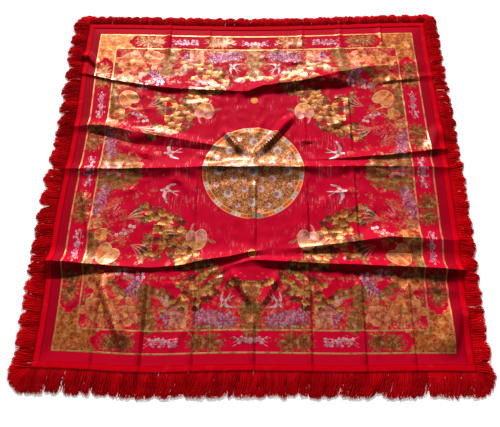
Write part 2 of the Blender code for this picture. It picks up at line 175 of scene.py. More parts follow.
MIDDLE_FOLD = (
    Station(-0.550, 0.006, -0.018, 0.006, 0.03, 1.6),
    Station(-0.500, 0.004, -0.030, 0.011, 0.04, 1.9),
    Station(-0.300, 0.004, -0.040, 0.014, 0.05, 2.0),
    Station(-0.210, 0.007, -0.040, 0.014, 0.05, 2.0),
    Station(-0.140, 0.010, -0.038, 0.015, 0.05, 2.0),
    Station(0.150, 0.011, -0.036, 0.015, 0.05, 2.0),
    Station(0.300, 0.014, -0.028, 0.013, 0.05, 2.0),
    Station(0.500, 0.015, -0.020, 0.010, 0.04, 1.8),
    Station(0.550, 0.012, -0.012, 0.007, 0.03, 1.5),
)
LOWER_FOLD = (
    Station(-0.550, -0.279, -0.325, 0.024, 0.05, 1.0),
    Station(-0.499, -0.281, -0.321, 0.026, 0.05, 1.0),
    Station(-0.440, -0.284, -0.308, 0.021, 0.05, 1.0),
    Station(-0.361, -0.287, -0.298, 0.013, 0.05, 1.0),
    Station(-0.268, -0.289, -0.300, 0.009, 0.04, 1.2),
    Station(-0.180, -0.281, -0.298, 0.012, 0.04, 1.4),
    Station(-0.120, -0.268, -0.288, 0.014, 0.04, 1.4),
    Station(-0.060, -0.259, -0.277, 0.012, 0.04, 1.3),
    Station(-0.010, -0.245, -0.262, 0.010, 0.04, 1.2),
    Station(0.050, -0.236, -0.249, 0.001, 0.03, 1.0),
    Station(0.110, -0.233, -0.245, 0.003, 0.03, 1.0),
    Station(0.180, -0.227, -0.246, 0.013, 0.05, 1.0),
    Station(0.300, -0.213, -0.243, 0.019, 0.05, 1.0),
    Station(0.364, -0.204, -0.243, 0.022, 0.05, 1.0),
    Station(0.450, -0.205, -0.244, 0.018, 0.05, 1.0),
    Station(0.550, -0.208, -0.244, 0.006, 0.04, 1.0),
)
LIP_FOLD = (
    Station(-0.550, -0.346, -0.358, 0.000, 0.01, 1.0),
    Station(-0.268, -0.322, -0.334, 0.000, 0.01, 1.0),
    Station(-0.134, -0.306, -0.318, 0.000, 0.01, 1.0),
    Station(-0.060, -0.282, -0.294, 0.002, 0.01, 1.2),
    Station(0.000, -0.267, -0.284, 0.008, 0.02, 1.4),
    Station(0.060, -0.271, -0.291, 0.014, 0.02, 1.5),
    Station(0.180, -0.277, -0.300, 0.018, 0.03, 1.5),
    Station(0.300, -0.281, -0.304, 0.019, 0.03, 1.5),
    Station(0.420, -0.287, -0.312, 0.020, 0.04, 1.4),
    Station(0.499, -0.291, -0.320, 0.020, 0.04, 1.3),
    Station(0.550, -0.294, -0.324, 0.016, 0.04, 1.2),
)
RIDGES = (LIP_FOLD, LOWER_FOLD, MIDDLE_FOLD, SECOND_FOLD, UPPER_FOLD)

Wrinkle = namedtuple("Wrinkle", "x0 y0 x1 y1 height left right start end")

WRINKLES = (
    Wrinkle(0.140, 0.212, -0.002, 0.040, 0.015, 0.016, 0.022, 0.0, 0.0),
    Wrinkle(0.038, 0.196, 0.004, 0.112, 0.004, 0.012, 0.018, 0.0, 0.0),
    Wrinkle(-0.100, 0.150, -0.026, 0.052, 0.012, 0.018, 0.014, 0.0, 0.0),
    Wrinkle(-0.239, 0.005, -0.172, -0.080, 0.006, 0.020, 0.016, 0.0, 0.0),
    Wrinkle(-0.062, -0.284, 0.014, -0.406, 0.016, 0.018, 0.014, 0.2, 0.0),
    Wrinkle(0.078, -0.300, 0.016, -0.404, 0.012, 0.015, 0.022, 0.2, 0.0),
    Wrinkle(-0.408, -0.312, -0.316, -0.512, 0.019, 0.034, 0.020, 0.5, 0.0),
    Wrinkle(-0.498, -0.030, -0.432, -0.250, 0.009, 0.020, 0.012, 0.0, 0.0),
    Wrinkle(0.542, -0.360, 0.486, -0.534, 0.014, 0.028, 0.060, 0.0, 0.0),
    Wrinkle(-0.556, 0.440, -0.500, 0.370, 0.012, 0.018, 0.012, 0.0, 0.0),
    Wrinkle(0.550, 0.165, 0.500, 0.058, 0.011, 0.022, 0.030, 0.0, 0.0),
    Wrinkle(0.210, 0.150, 0.290, 0.178, 0.006, 0.024, 0.016, 0.0, 0.0),
    Wrinkle(-0.420, 0.085, -0.250, 0.030, 0.005, 0.022, 0.016, 0.0, 0.0),
    Wrinkle(0.330, 0.304, 0.560, 0.336, 0.006, 0.020, 0.009, 0.0, 0.8),
)

Crease = namedtuple("Crease", "x low high height side")

CREASES = (
    Crease(-0.406, -0.560, -0.360, 0.0069, 0.006),
    Crease(-0.281, -0.560, -0.300, 0.0115, 0.007),
    Crease(-0.281, 0.400, 0.560, 0.0057, 0.007),
    Crease(-0.150, -0.560, -0.330, 0.0080, 0.007),
    Crease(-0.150, 0.440, 0.560, 0.0034, 0.007),
    Crease(-0.165, -0.250, -0.010, 0.0069, 0.007),
    Crease(0.006, -0.560, -0.400, 0.0103, 0.007),
    Crease(0.004, -0.246, -0.010, 0.0103, 0.008),
    Crease(0.151, -0.560, -0.300, 0.0103, 0.007),
    Crease(0.151, -0.220, 0.000, 0.0092, 0.007),
    Crease(0.151, 0.040, 0.220, 0.0046, 0.007),
    Crease(0.151, 0.430, 0.560, 0.0034, 0.007),
    Crease(0.284, -0.560, -0.300, 0.0126, 0.008),
    Crease(0.284, -0.230, 0.020, 0.0092, 0.007),
    Crease(0.284, 0.055, 0.285, 0.0052, 0.007),
    Crease(0.275, 0.420, 0.560, 0.0046, 0.007),
    Crease(0.406, -0.560, -0.310, 0.0092, 0.007),
    Crease(0.406, 0.430, 0.560, 0.0040, 0.007),
)
CREASE_LEFT = 2.0  # how much wider the gentle left side of a crease is
CREASE_END = 0.045
SWELL_HEIGHT = 0.0028
SWELL_DROP = 0.0012
SWELL_X = 0.30
SWELL_Y = 0.26
SWELL_EDGE = 0.10
SWELL_KEEPS = 0.85
PUCKER_HEIGHT = 0.0010
CRUMPLES = 120
print("ridges:", len(RIDGES), "wrinkles:", len(WRINKLES), "creases:", len(CREASES))

# %% [markdown]
# Where ridges meet, the higher one counts, and wrinkles and creases are added to it. A ridge
# has a long hollow far slope and a shorter near one, straight or hollow. Where nothing lifts
# it, the cloth lies flat. The hem keeps its height under the stiff tape, from the tape's
# inner edge to the cloth's edge.


# %% Height of the cloth
FULL_TURN = 2.0 * math.pi


def ease(value):
    """0 below 0, 1 above 1, and a smooth rise between."""
    t = np.clip(value, 0.0, 1.0)
    return t * t * (3.0 - 2.0 * t)


def along(stations, field, x):
    return np.interp(x, [s.x for s in stations], [getattr(s, field) for s in stations])


def ridge_height(stations, x, y):
    crest = along(stations, "crest", x)
    behind = np.clip((y - crest) / along(stations, "reach", x), 0.0, 1.0)
    before = np.clip((crest - y) / (crest - along(stations, "foot", x)), 0.0, 1.0)
    near = (1.0 - before) ** along(stations, "hollow", x)
    side = np.where(y >= crest, (1.0 - behind) ** 2, near)
    return along(stations, "height", x) * side


def wrinkle_height(w, x, y):
    length = math.hypot(w.x1 - w.x0, w.y1 - w.y0)
    ux, uy = (w.x1 - w.x0) / length, (w.y1 - w.y0) / length
    share = ((x - w.x0) * ux + (y - w.y0) * uy) / length
    aside = (y - w.y0) * ux - (x - w.x0) * uy
    rise = w.start + (1.0 - w.start) * ease(share * 3.0)
    fall = w.end + (1.0 - w.end) * ease((1.0 - share) * 3.0)
    inside = (share > 0.0) & (share < 1.0)
    width = np.where(aside > 0.0, w.left, w.right)
    slope = ease(1.0 - np.abs(aside) / width)
    return np.where(inside, w.height * rise * fall * slope, 0.0)


def crease_height(c, x, y):
    inside = ease((y - c.low) / CREASE_END) * ease((c.high - y) / CREASE_END)
    side = np.where(x > c.x, c.side, c.side * CREASE_LEFT)
    slope = np.clip(1.0 - np.abs(x - c.x) / side, 0.0, 1.0)
    return c.height * inside * slope


def inland(x, y):
    """0 at the hem and 1 from a hand's width inside it."""
    return ease((HALF - np.maximum(np.abs(x), np.abs(y))) / SWELL_EDGE)


def swell_height(x, y):
    first = np.sin(FULL_TURN * x / SWELL_X + 1.1 + 0.9 * np.sin(FULL_TURN * y / 0.61))
    second = np.sin(FULL_TURN * y / SWELL_Y + 0.4 + 1.1 * np.sin(FULL_TURN * x / 0.53))
    return SWELL_HEIGHT * first * second * inland(x, y) - SWELL_DROP


def pucker_height(x, y):
    """Small uneven puckers that the weave leaves between the creases."""
    aslant, across = x * 0.8 + y * 0.6, y * 0.9 - x * 0.5
    first = np.sin(FULL_TURN * aslant / 0.083 + 2.0 * np.sin(FULL_TURN * y / 0.21))
    second = np.sin(FULL_TURN * across / 0.061 + 2.0 * np.sin(FULL_TURN * x / 0.17))
    return PUCKER_HEIGHT * first * second * inland(x, y)


def small_wrinkles():
    """Short creases of a cloth kept folded: most run along or across the loom."""
    random = np.random.default_rng(7)
    found = []
    for _ in range(CRUMPLES):
        x, y = random.uniform(-0.50, 0.50, 2)
        turn = random.normal(0.0, 0.22) + random.choice([0.0, FULL_TURN / 4.0], p=[0.45, 0.55])
        reach = random.uniform(0.02, 0.06)
        dx, dy = reach * math.cos(turn), reach * math.sin(turn)
        height, side = random.uniform(0.0014, 0.0038), random.uniform(0.008, 0.014)
        ends = (x - dx, y - dy, x + dx, y + dy)
        found.append(Wrinkle(*ends, height, side, side * 1.4, 0.0, 0.0))
    return tuple(found)


SMALL_WRINKLES = small_wrinkles()


def lift(x, y):
    x = np.clip(np.asarray(x, float), -TAPE_INNER, TAPE_INNER)
    y = np.clip(np.asarray(y, float), -TAPE_INNER, TAPE_INNER)
    high = np.maximum.reduce([ridge_height(table, x, y) for table in RIDGES])
    high = high + sum(wrinkle_height(w, x, y) for w in WRINKLES + SMALL_WRINKLES)
    high = high + sum(crease_height(c, x, y) for c in CREASES)
    high = np.maximum(high + swell_height(x, y), high * SWELL_KEEPS)
    return np.maximum(high + pucker_height(x, y), 0.0)


def laid(x, y):
    """A point of the true square, moved to where the uneven outline has it."""
    far = ease((y - 0.15) / 0.40)
    near = ease((-y - 0.15) / 0.40)
    right = ease((x - 0.15) / 0.40)
    left = ease((-x - 0.15) / 0.40)
    dy = -0.013 * far * np.cos(math.pi * np.clip(x, -HALF, HALF) / SIDE) ** 2
    dy = dy - 0.009 * near * np.exp(-(((x + 0.27) / 0.16) ** 2))
    dy = dy + 0.006 * near * ease((x - 0.20) / 0.30)
    dx = 0.009 * right * np.cos(math.pi * np.clip(y, -HALF, HALF) / SIDE) ** 2
    dx = dx + 0.004 * left * np.sin(FULL_TURN * y / 0.62)
    return x + dx + MIDDLE[0], y + dy + MIDDLE[1]


print("highest fold:", round(float(lift(0.25, 0.336)) * 1000, 1), "mm")

# %% [markdown]
# ## The woven square
# The sheet starts as a flat grid. Its rows are drawn along every crest and foot, and its
# columns along the upright creases, so an edge of the mesh runs down each fold and keeps it
# crisp. The flat place of each point becomes its UV, in metres, so the woven pattern bends
# with the cloth.

# %% Rows and columns of the grid
COLUMN_STEP = 0.0057
CREASE_COLUMNS = (-0.406, -0.281, -0.150, 0.006, 0.151, 0.284, 0.406)
CREASE_SIDE = 0.007
ROW_COUNTS = (4, 34, 7, 7, 7, 33, 12, 10, 8, 32, 8, 34, 4)


def grid_columns():
    kept = {-HALF, -TAPE_INNER, 0.0, TAPE_INNER, HALF}
    for x in CREASE_COLUMNS:
        kept |= {x - CREASE_SIDE, x, x + CREASE_SIDE}
    kept = sorted(kept)
    filled = []
    for low, high in zip(kept, kept[1:]):
        steps = max(1, round((high - low) / COLUMN_STEP))
        filled += [low + (high - low) * k / steps for k in range(steps)]
    return np.array(filled + [HALF])


def grid_rows(x):
    """y of every row at the columns x, the near hem first."""
    flat = np.ones_like(x)
    guides = [-HALF * flat, -TAPE_INNER * flat]
    for table in RIDGES:
        guides += [along(table, "foot", x), along(table, "crest", x)]
    guides += [TAPE_INNER * flat, HALF * flat]
    found = []
    for low, high, count in zip(guides, guides[1:], ROW_COUNTS):
        found += [low + (high - low) * k / count for k in range(count)]
    return np.array(found + [guides[-1]])


COLUMNS = grid_columns()
ROWS = grid_rows(COLUMNS)
FLAT_X = np.broadcast_to(COLUMNS, ROWS.shape)
FLAT_Y = ROWS
print("grid:", ROWS.shape[1], "by", ROWS.shape[0], "points")


# %% Shape the sheet
def get_points(mesh):
    places = np.empty(len(mesh.vertices) * 3, np.float32)
    mesh.vertices.foreach_get("co", places)
    return places.reshape(-1, 3)


def set_points(mesh, x, y, z):
    places = np.stack([x.ravel(), y.ravel(), z.ravel()], axis=1).astype(np.float32)
    mesh.vertices.foreach_set("co", places.ravel())
    mesh.update()


def set_uv(mesh, u, v):
    """Give each corner of a face the flat place of its point."""
    corner = np.empty(len(mesh.loops), dtype=np.int32)
    mesh.loops.foreach_get("vertex_index", corner)
    places = np.stack([u.ravel()[corner], v.ravel()[corner]], axis=1).astype(np.float32)
    layer = mesh.uv_layers[0] if mesh.uv_layers else mesh.uv_layers.new(name="flat")
    layer.name = "flat"
    layer.data.foreach_set("uv", places.ravel())


bpy.ops.mesh.primitive_grid_add(
    x_subdivisions=ROWS.shape[1] - 1, y_subdivisions=ROWS.shape[0] - 1, size=SIDE
)
cloth = bpy.context.object
cloth.name = "brocade_square"
set_points(cloth.data, *laid(FLAT_X, FLAT_Y), lift(FLAT_X, FLAT_Y))
set_uv(cloth.data, FLAT_X, FLAT_Y)
print("sheet faces:", len(cloth.data.polygons))

# %% [markdown]
# ## The heading tape
# The tape is sewn flat on the hem, so it follows the sheet's outermost cells exactly. Each
# length is cut from a copy of the sheet: the other faces are deleted, the strip is raised
# along its normals to lie on the cloth, and it gets its own thickness.

# %% Cut the four lengths of tape
TAPE_CELLS = ROW_COUNTS[0]
BUTT_GAP = 0.0004
END_REACH = 0.001  # a point this near to a length's end is part of the end
SOFT_ANGLE = 22.0  # a bend below this is shaded round, and the fold lines stay crisp
COUNT_X, COUNT_Y = ROWS.shape[1], ROWS.shape[0]
LEFT_CELLS = int(np.sum(COLUMNS < -TAPE_INNER - 1e-9))


def strip_faces(side):
    """Indices of the sheet's faces that lie under one length of tape."""
    row, column = np.divmod(np.arange((COUNT_X - 1) * (COUNT_Y - 1)), COUNT_X - 1)
    near = row < TAPE_CELLS
    far = row >= COUNT_Y - 1 - TAPE_CELLS
    between = ~near & ~far
    left = between & (column < LEFT_CELLS)
    right = between & (column >= COUNT_X - 1 - LEFT_CELLS)
    return {"near": near, "far": far, "left": left, "right": right}[side]


def select_only(obj):
    bpy.ops.object.select_all(action="DESELECT")
    obj.select_set(True)
    bpy.context.view_layer.objects.active = obj


def thicken(obj, thickness):
    """Solidify the sheet upwards and apply it."""
    bpy.context.view_layer.objects.active = obj
    solid = obj.modifiers.new("thickness", "SOLIDIFY")
    solid.thickness = thickness
    solid.offset = 1.0
    bpy.ops.object.modifier_apply(modifier=solid.name)


def cut_tape(side):
    select_only(cloth)
    bpy.ops.object.duplicate()
    tape = bpy.context.object
    tape.name = "tape_strip_" + side
    away = ~strip_faces(side)
    tape.data.polygons.foreach_set("select", away)
    tape.data.edges.foreach_set("select", np.zeros(len(tape.data.edges), bool))
    tape.data.vertices.foreach_set("select", np.zeros(len(tape.data.vertices), bool))
    bpy.ops.object.mode_set(mode="EDIT")
    bpy.ops.mesh.delete(type="FACE")
    bpy.ops.mesh.select_all(action="SELECT")
    bpy.ops.transform.shrink_fatten(value=CLOTH_THICK + TAPE_GAP)
    bpy.ops.object.mode_set(mode="OBJECT")
    if side in ("left", "right"):
        shorten(tape)
    thicken(tape, TAPE_THICK)
    return tape


def shorten(tape):
    """Draw both ends of a side length back from the lengths that it butts against."""
    x, y, z = get_points(tape.data).T
    low, high = y.min() + END_REACH, y.max() - END_REACH
    y = np.where(y < low, y + BUTT_GAP, y)
    y = np.where(y > high, y - BUTT_GAP, y)
    set_points(tape.data, x, y, z)


tapes = {side: cut_tape(side) for side in ("near", "right", "far", "left")}
thicken(cloth, CLOTH_THICK)
for piece in (cloth, *tapes.values()):
    select_only(piece)
    bpy.ops.object.shade_smooth_by_angle(angle=math.radians(SOFT_ANGLE))
    print(piece.name, len(piece.data.polygons), "faces")

# %% [markdown]
# ## The fringe
# The fringe is thick yarn in loops. One loop is modelled as a bent tube: out from the hem,
# round at the end, and back. An array makes one side's loops, and then each loop is bent to
# its own place: it belongs to a lock, leans with it, and sinks to the floor past the hem.
# Hair particles would be lighter, but they can't be looped or exported as a mesh.

# %% One loop of yarn
YARN_RADIUS = 0.00105
LOOP_WIDTH = 0.0044
LOOP_STEP = 1.0  # the array's spacing, undone when the loops are bent

LoopPoint = namedtuple("LoopPoint", "across along")

LOOP_LINE = (
    LoopPoint(-0.50, 0.00),
    LoopPoint(-0.52, 0.25),
    LoopPoint(-0.60, 0.50),
    LoopPoint(-0.66, 0.75),
    LoopPoint(-0.56, 0.92),
    LoopPoint(0.00, 1.00),
    LoopPoint(0.56, 0.92),
    LoopPoint(0.66, 0.75),
    LoopPoint(0.60, 0.50),
    LoopPoint(0.52, 0.25),
    LoopPoint(0.50, 0.00),
)


def yarn_loop(name):
    """A tube along the loop's line. Its length is 1 and is scaled when it is bent."""
    bpy.ops.curve.primitive_bezier_curve_add()
    curve = bpy.context.object
    curve.name = name
    curve.data.splines.clear()
    line = curve.data.splines.new("POLY")
    line.points.add(len(LOOP_LINE) - 1)
    for point, place in zip(line.points, LOOP_LINE):
        point.co = (place.across * LOOP_WIDTH, place.along, 0.0, 1.0)
    curve.data.dimensions = "3D"
    curve.data.bevel_depth = YARN_RADIUS
    curve.data.bevel_resolution = 0
    select_only(curve)
    bpy.ops.object.convert(target="MESH")
    return bpy.context.object


sample = yarn_loop("sample_loop")
LOOP_POINTS = len(sample.data.vertices)
print("one loop:", LOOP_POINTS, "points,", len(sample.data.polygons), "faces")
bpy.data.objects.remove(sample)

# %% [markdown]
# A side's fringe is described along the hem, as in the solids: locks on the straight part
# and a fan of locks round one corner. Loops in a lock draw together at their ends, and the
# outer ones are shorter, which gives each lock its rounded end. On a side, a share of the
# locks is tight, single loops stray, and all may lean one way. The near side also has a few
# short places, its notches.

# %% Place every loop of one side
LOCKS_STRAIGHT = 48
LOCKS_CORNER = 5
LOOPS_PER_LOCK = 30
EDGE_GAP = 0.0001
SIDE_SWAY = 0.011
SWAY_WAVE = 0.42
SETTLE = 0.018
PILE = 0.0046

NEAR_NOTCHES = (-0.462, -0.386, -0.214, -0.150, -0.030, 0.118, 0.246, 0.330)
NOTCH_WIDTH = 0.0055
NOTCH_DEPTH = 0.34
BULGE_RISE = 0.0026

Run = namedtuple("Run", "name quarter length next_length scallop depth tight stray lean notches")

RUNS = (
    Run("near", 0, 0.064, 0.046, 0.071, 0.06, 0.55, 0.0046, 0.010, NEAR_NOTCHES),
    Run("right", 1, 0.046, 0.036, 0.047, 0.20, 0.30, 0.0026, 0.0, ()),
    Run("far", 2, 0.036, 0.056, 0.034, 0.24, 0.30, 0.0026, 0.0, ()),
    Run("left", 3, 0.058, 0.064, 0.052, 0.32, 0.30, 0.0026, 0.0, ()),
)


def turned(quarter, forward, outward):
    c, s = (1, 0, -1, 0)[quarter], (0, 1, 0, -1)[quarter]
    return forward * c + outward * s, forward * s - outward * c


def bend_loops(places, run, random):
    """Move the points of an array of unit loops to their places along one hem."""
    loops = len(places) // LOOP_POINTS
    index = np.repeat(np.arange(loops), LOOP_POINTS)
    across = places[:, 0] - index * LOOP_STEP
    s = np.clip(places[:, 1], -0.03, 1.05)
    high = places[:, 2]

    lock = np.arange(loops) // LOOPS_PER_LOCK
    locks = LOCKS_STRAIGHT + LOCKS_CORNER
    inside = random.uniform(-1.0, 1.0, loops)
    lock_lean = random.normal(0.0, 0.0030, locks)[lock]
    lock_long = random.uniform(0.93, 1.02, locks)[lock]
    tight = random.uniform(0.0, 1.0, locks) < run.tight
    lock_gather = np.where(tight, 0.64, 0.97)[lock]
    wave = random.normal(0.0, 0.0012, loops)
    phase = random.uniform(0.0, 6.28, loops)  # a whole turn
    level = random.uniform(0.0, 1.0, loops)
    width = random.uniform(0.75, 1.4, loops)
    stray = random.normal(0.0, run.stray, loops)
    round_end = 1.0 - 0.07 * np.abs(inside) ** 2.2
    loop_long = lock_long * round_end * random.uniform(0.84, 1.03, loops)
    gather = lock_gather + random.normal(0.0, 0.04, loops)

    pitch = SIDE / LOCKS_STRAIGHT
    straight = lock < LOCKS_STRAIGHT
    step = FULL_TURN / 4.0 / LOCKS_CORNER
    corner = np.clip(lock - LOCKS_STRAIGHT, 0, None)
    angle = np.where(straight, 0.0, step * (corner + 0.5 + 0.5 * inside))
    blend = angle / (FULL_TURN / 4.0)
    length = (run.length * (1.0 - blend) + run.next_length * blend) * loop_long

    middle = -HALF + pitch * (np.minimum(lock, LOCKS_STRAIGHT - 1) + 0.5)
    root = np.where(straight, middle + inside * pitch / 2.0, HALF)
    uneven = root + 0.012 * np.sin(root * 23.0 + run.quarter)
    bulge = np.abs(np.sin(math.pi * uneven / run.scallop)) ** 0.6
    length = length * (1.0 + 0.03 - run.depth * (1.0 - bulge) * straight)
    notches = sum(np.exp(-(((root - x) / NOTCH_WIDTH) ** 2)) for x in run.notches)
    length = length * (1.0 - NOTCH_DEPTH * np.clip(notches, 0.0, 1.0) * straight)
    ends = 1.0 - (np.abs(root) / HALF) ** 4
    sway = SIDE_SWAY * np.sin(FULL_TURN * root / SWAY_WAVE + 1.7 * run.quarter) * ends
    sway = sway - run.lean * ends
    tip_pull = -inside * (1.0 - gather) * pitch / 2.0 * straight

    shift = (sway + lock_lean + stray)[index] * s**2 + tip_pull[index] * ease(s * 1.6 - 0.6)
    shift = shift + wave[index] * np.sin(s * 4.2 + phase[index])
    t = across * width[index] + shift
    out = EDGE_GAP + s * length[index]
    sin_a, cos_a = np.sin(angle)[index], np.cos(angle)[index]
    forward = root[index] + t * cos_a + out * sin_a
    outward = HALF + np.where(straight[index], out, EDGE_GAP + out * cos_a - t * sin_a)
    x, y = turned(run.quarter, forward, outward)
    past = np.hypot(np.maximum(np.abs(x) - HALF, 0.0), np.maximum(np.abs(y) - HALF, 0.0))
    hem = lift(x, y) * (1.0 - ease(past / SETTLE))
    body = np.sin(np.clip(s, 0.0, 1.0) * math.pi) ** 0.7
    pile = YARN_RADIUS * 1.05 + level[index] * (0.0010 + PILE * body)
    pile = pile + BULGE_RISE * (bulge * straight)[index] * body
    flat = 1.0 - 0.25 * ease(s)
    x, y = laid(x, y)
    return np.stack([x, y, hem + pile + high * flat], axis=1), loops


def build_fringe(run):
    random = np.random.default_rng(40 + run.quarter)
    fringe = yarn_loop("yarn_fringe_" + run.name)
    array = fringe.modifiers.new("loops", "ARRAY")
    array.count = (LOCKS_STRAIGHT + LOCKS_CORNER) * LOOPS_PER_LOCK
    array.use_relative_offset = False
    array.use_constant_offset = True
    array.constant_offset_displace = (LOOP_STEP, 0.0, 0.0)
    bpy.ops.object.modifier_apply(modifier=array.name)
    mesh = fringe.data
    places = get_points(mesh).astype(float)
    share = places[:, 1]
    moved, loops = bend_loops(places, run, random)
    set_points(mesh, *moved.T)
    lock_tone = np.repeat(random.uniform(0.0, 1.0, loops // LOOPS_PER_LOCK), LOOPS_PER_LOCK)
    tone = np.repeat(0.5 * random.uniform(0.0, 1.0, loops) + 0.5 * lock_tone, LOOP_POINTS)
    yarn = mesh.attributes.new("yarn", "FLOAT_VECTOR", "POINT")
    values = np.stack([share, tone, moved[:, 2] / 0.01], axis=1).astype(np.float32)
    yarn.data.foreach_set("vector", values.ravel())
    mesh.update()
    select_only(fringe)
    bpy.ops.object.shade_smooth()
    print(fringe.name, loops, "loops,", 2 * len(mesh.polygons), "triangles")
    return fringe


fringes = {run.name: build_fringe(run) for run in RUNS}

# %% [markdown]
# ## Materials
# Every finish is a small program of nodes. A socket is wrapped in a class with arithmetic
# operators, so that a formula in Python adds its own Math nodes. All other nodes come from
# one method. `step` and `mix` do most of the drawing: the first makes a soft-edged mask from
# a distance, and the second lays a colour on another where the mask is 1.


# %% A shader written as expressions
class Wire:
    """An output of a node, which adds a Math node for each operator used on it."""

    def __init__(self, finish, socket):
        self.finish = finish
        self.socket = socket

    def math(self, operation, *others):
        return self.finish.node("ShaderNodeMath", {"operation": operation}, (self, *others))

    def __add__(self, other):
        return self.math("ADD", other)

    __radd__ = __add__

    def __mul__(self, other):
        return self.math("MULTIPLY", other)

    __rmul__ = __mul__

    def __sub__(self, other):
        return self.math("SUBTRACT", other)

    def __rsub__(self, other):
        return self.finish.node("ShaderNodeMath", {"operation": "SUBTRACT"}, (other, self))

    def __truediv__(self, other):
        return self.math("DIVIDE", other)

    def __pow__(self, other):
        return self.math("POWER", other)

    def __gt__(self, other):
        return self.math("GREATER_THAN", other)

    def __lt__(self, other):
        return self.math("LESS_THAN", other)

    def absolute(self):
        return self.math("ABSOLUTE")

    def sine(self):
        return self.math("SINE")

    def cosine(self):
        return self.math("COSINE")

    def part(self):
        return self.math("FRACT")

    def nearest(self):
        return self.math("ROUND")

    def least(self, other):
        return self.math("MINIMUM", other)

    def most(self, other):
        return self.math("MAXIMUM", other)


class Finish:
    """A material with one Principled shader."""

    def __init__(self, name, roughness=0.5, metallic=0.0, sheen=0.0, specular=0.5):
        self.material = bpy.data.materials.new(name)
        self.material.use_nodes = True
        self.tree = self.material.node_tree
        self.shader = self.tree.nodes["Principled BSDF"]
        self.shader.inputs["Roughness"].default_value = roughness
        self.shader.inputs["Metallic"].default_value = metallic
        self.shader.inputs["Sheen Weight"].default_value = sheen
        self.shader.inputs["Specular IOR Level"].default_value = specular

    def node(self, kind, settings=None, values=(), out=0):
        """Add a node: its settings first, then the value or the wire of each input."""
        made = self.tree.nodes.new(kind)
        for key, value in (settings or {}).items():
            if key == "stops":
                self.set_stops(made.color_ramp, value)
            else:
                setattr(made, key, value)
        pairs = values.items() if isinstance(values, dict) else enumerate(values)
        for key, value in pairs:
            self.feed(made.inputs[key], value)
        return Wire(self, made.outputs[out])

    def set_stops(self, ramp, stops):
        while len(ramp.elements) < len(stops):
            ramp.elements.new(0.5)
        for element, (place, colour) in zip(ramp.elements, stops):
            element.position = place
            element.color = (*colour, 1.0)

    def feed(self, socket, value):
        if isinstance(value, Wire):
            self.tree.links.new(value.socket, socket)
        elif isinstance(value, tuple) and len(value) == 3 and len(socket.default_value) == 4:
            socket.default_value = (*value, 1.0)
        else:
            socket.default_value = value

    def mix(self, mask, below, above):
        """Colour above where the mask is 1, and below where it is 0."""
        return self.node(
            "ShaderNodeMix", {"data_type": "RGBA"}, {0: mask, 6: below, 7: above}, out=2
        )

    def step(self, value, low, high):
        """A smooth rise from 0 at low to 1 at high, or a fall if low is the larger."""
        return self.node(
            "ShaderNodeMapRange",
            {"interpolation_type": "SMOOTHSTEP"},
            {0: value, 1: low, 2: high},
        )

    def attribute(self, name, out="Vector"):
        return self.node("ShaderNodeAttribute", {"attribute_name": name}, out=out)

    def parts(self, vector):
        made = self.tree.nodes.new("ShaderNodeSeparateXYZ")
        self.tree.links.new(vector.socket, made.inputs[0])
        return [Wire(self, output) for output in made.outputs]

    def point(self, x, y, z=0.0):
        return self.node("ShaderNodeCombineXYZ", values=(x, y, z))

    def vector(self, operation, *values, scale=None, out=0):
        """A Vector Math node. Its second output is the number that some operations give."""
        inputs = dict(enumerate(values))
        if scale is not None:
            inputs[3] = scale
        return self.node("ShaderNodeVectorMath", {"operation": operation}, inputs, out=out)

    def turned(self, vector, angle):
        kind = {"rotation_type": "Z_AXIS"}
        return self.node("ShaderNodeVectorRotate", kind, {"Vector": vector, "Angle": angle})

    def noise(self, vector, scale, detail=2.0, rough=0.5, out=0):
        return self.node(
            "ShaderNodeTexNoise",
            {"noise_dimensions": "2D"},
            {"Vector": vector, "Scale": scale, "Detail": detail, "Roughness": rough},
            out=out,
        )

    def noise_colour(self, vector, scale, detail=2.0):
        return self.noise(vector, scale, detail, out=1)

    def bump(self, height, distance, strength=1.0):
        values = {"Height": height, "Distance": distance, "Strength": strength}
        return self.node("ShaderNodeBump", values=values)

    def finish(self, obj, **sockets):
        for name, value in sockets.items():
            self.feed(self.shader.inputs[name.replace("_", " ")], value)
        obj.data.materials.clear()
        obj.data.materials.append(self.material)


def paint(red, green, blue):
    """A colour as seen on screen, 0 to 255, turned into the linear values of a shader."""
    def linear(value):
        value = value / 255.0
        return value / 12.92 if value <= 0.04045 else ((value + 0.055) / 1.055) ** 2.4
    return (linear(red), linear(green), linear(blue))


print("shader helpers ready")

# %% [markdown]
# ### Where the woven motifs stand
# The pattern is the same in all four quarters of the cloth, mirrored at both middle lines,
# as a loom's harness repeats it. So a motif is placed once, in one quarter, in metres from
# the middle. Broad growths are strips along a line, and the large flowers, fruits, plumes
# and birds have a place, a size and a turn. Painting them into an image would fix their
# sharpness, so they are formulas in the shader instead.

# %% Tables of the motifs
Patch = namedtuple("Patch", "x0 y0 x1 y1 width")

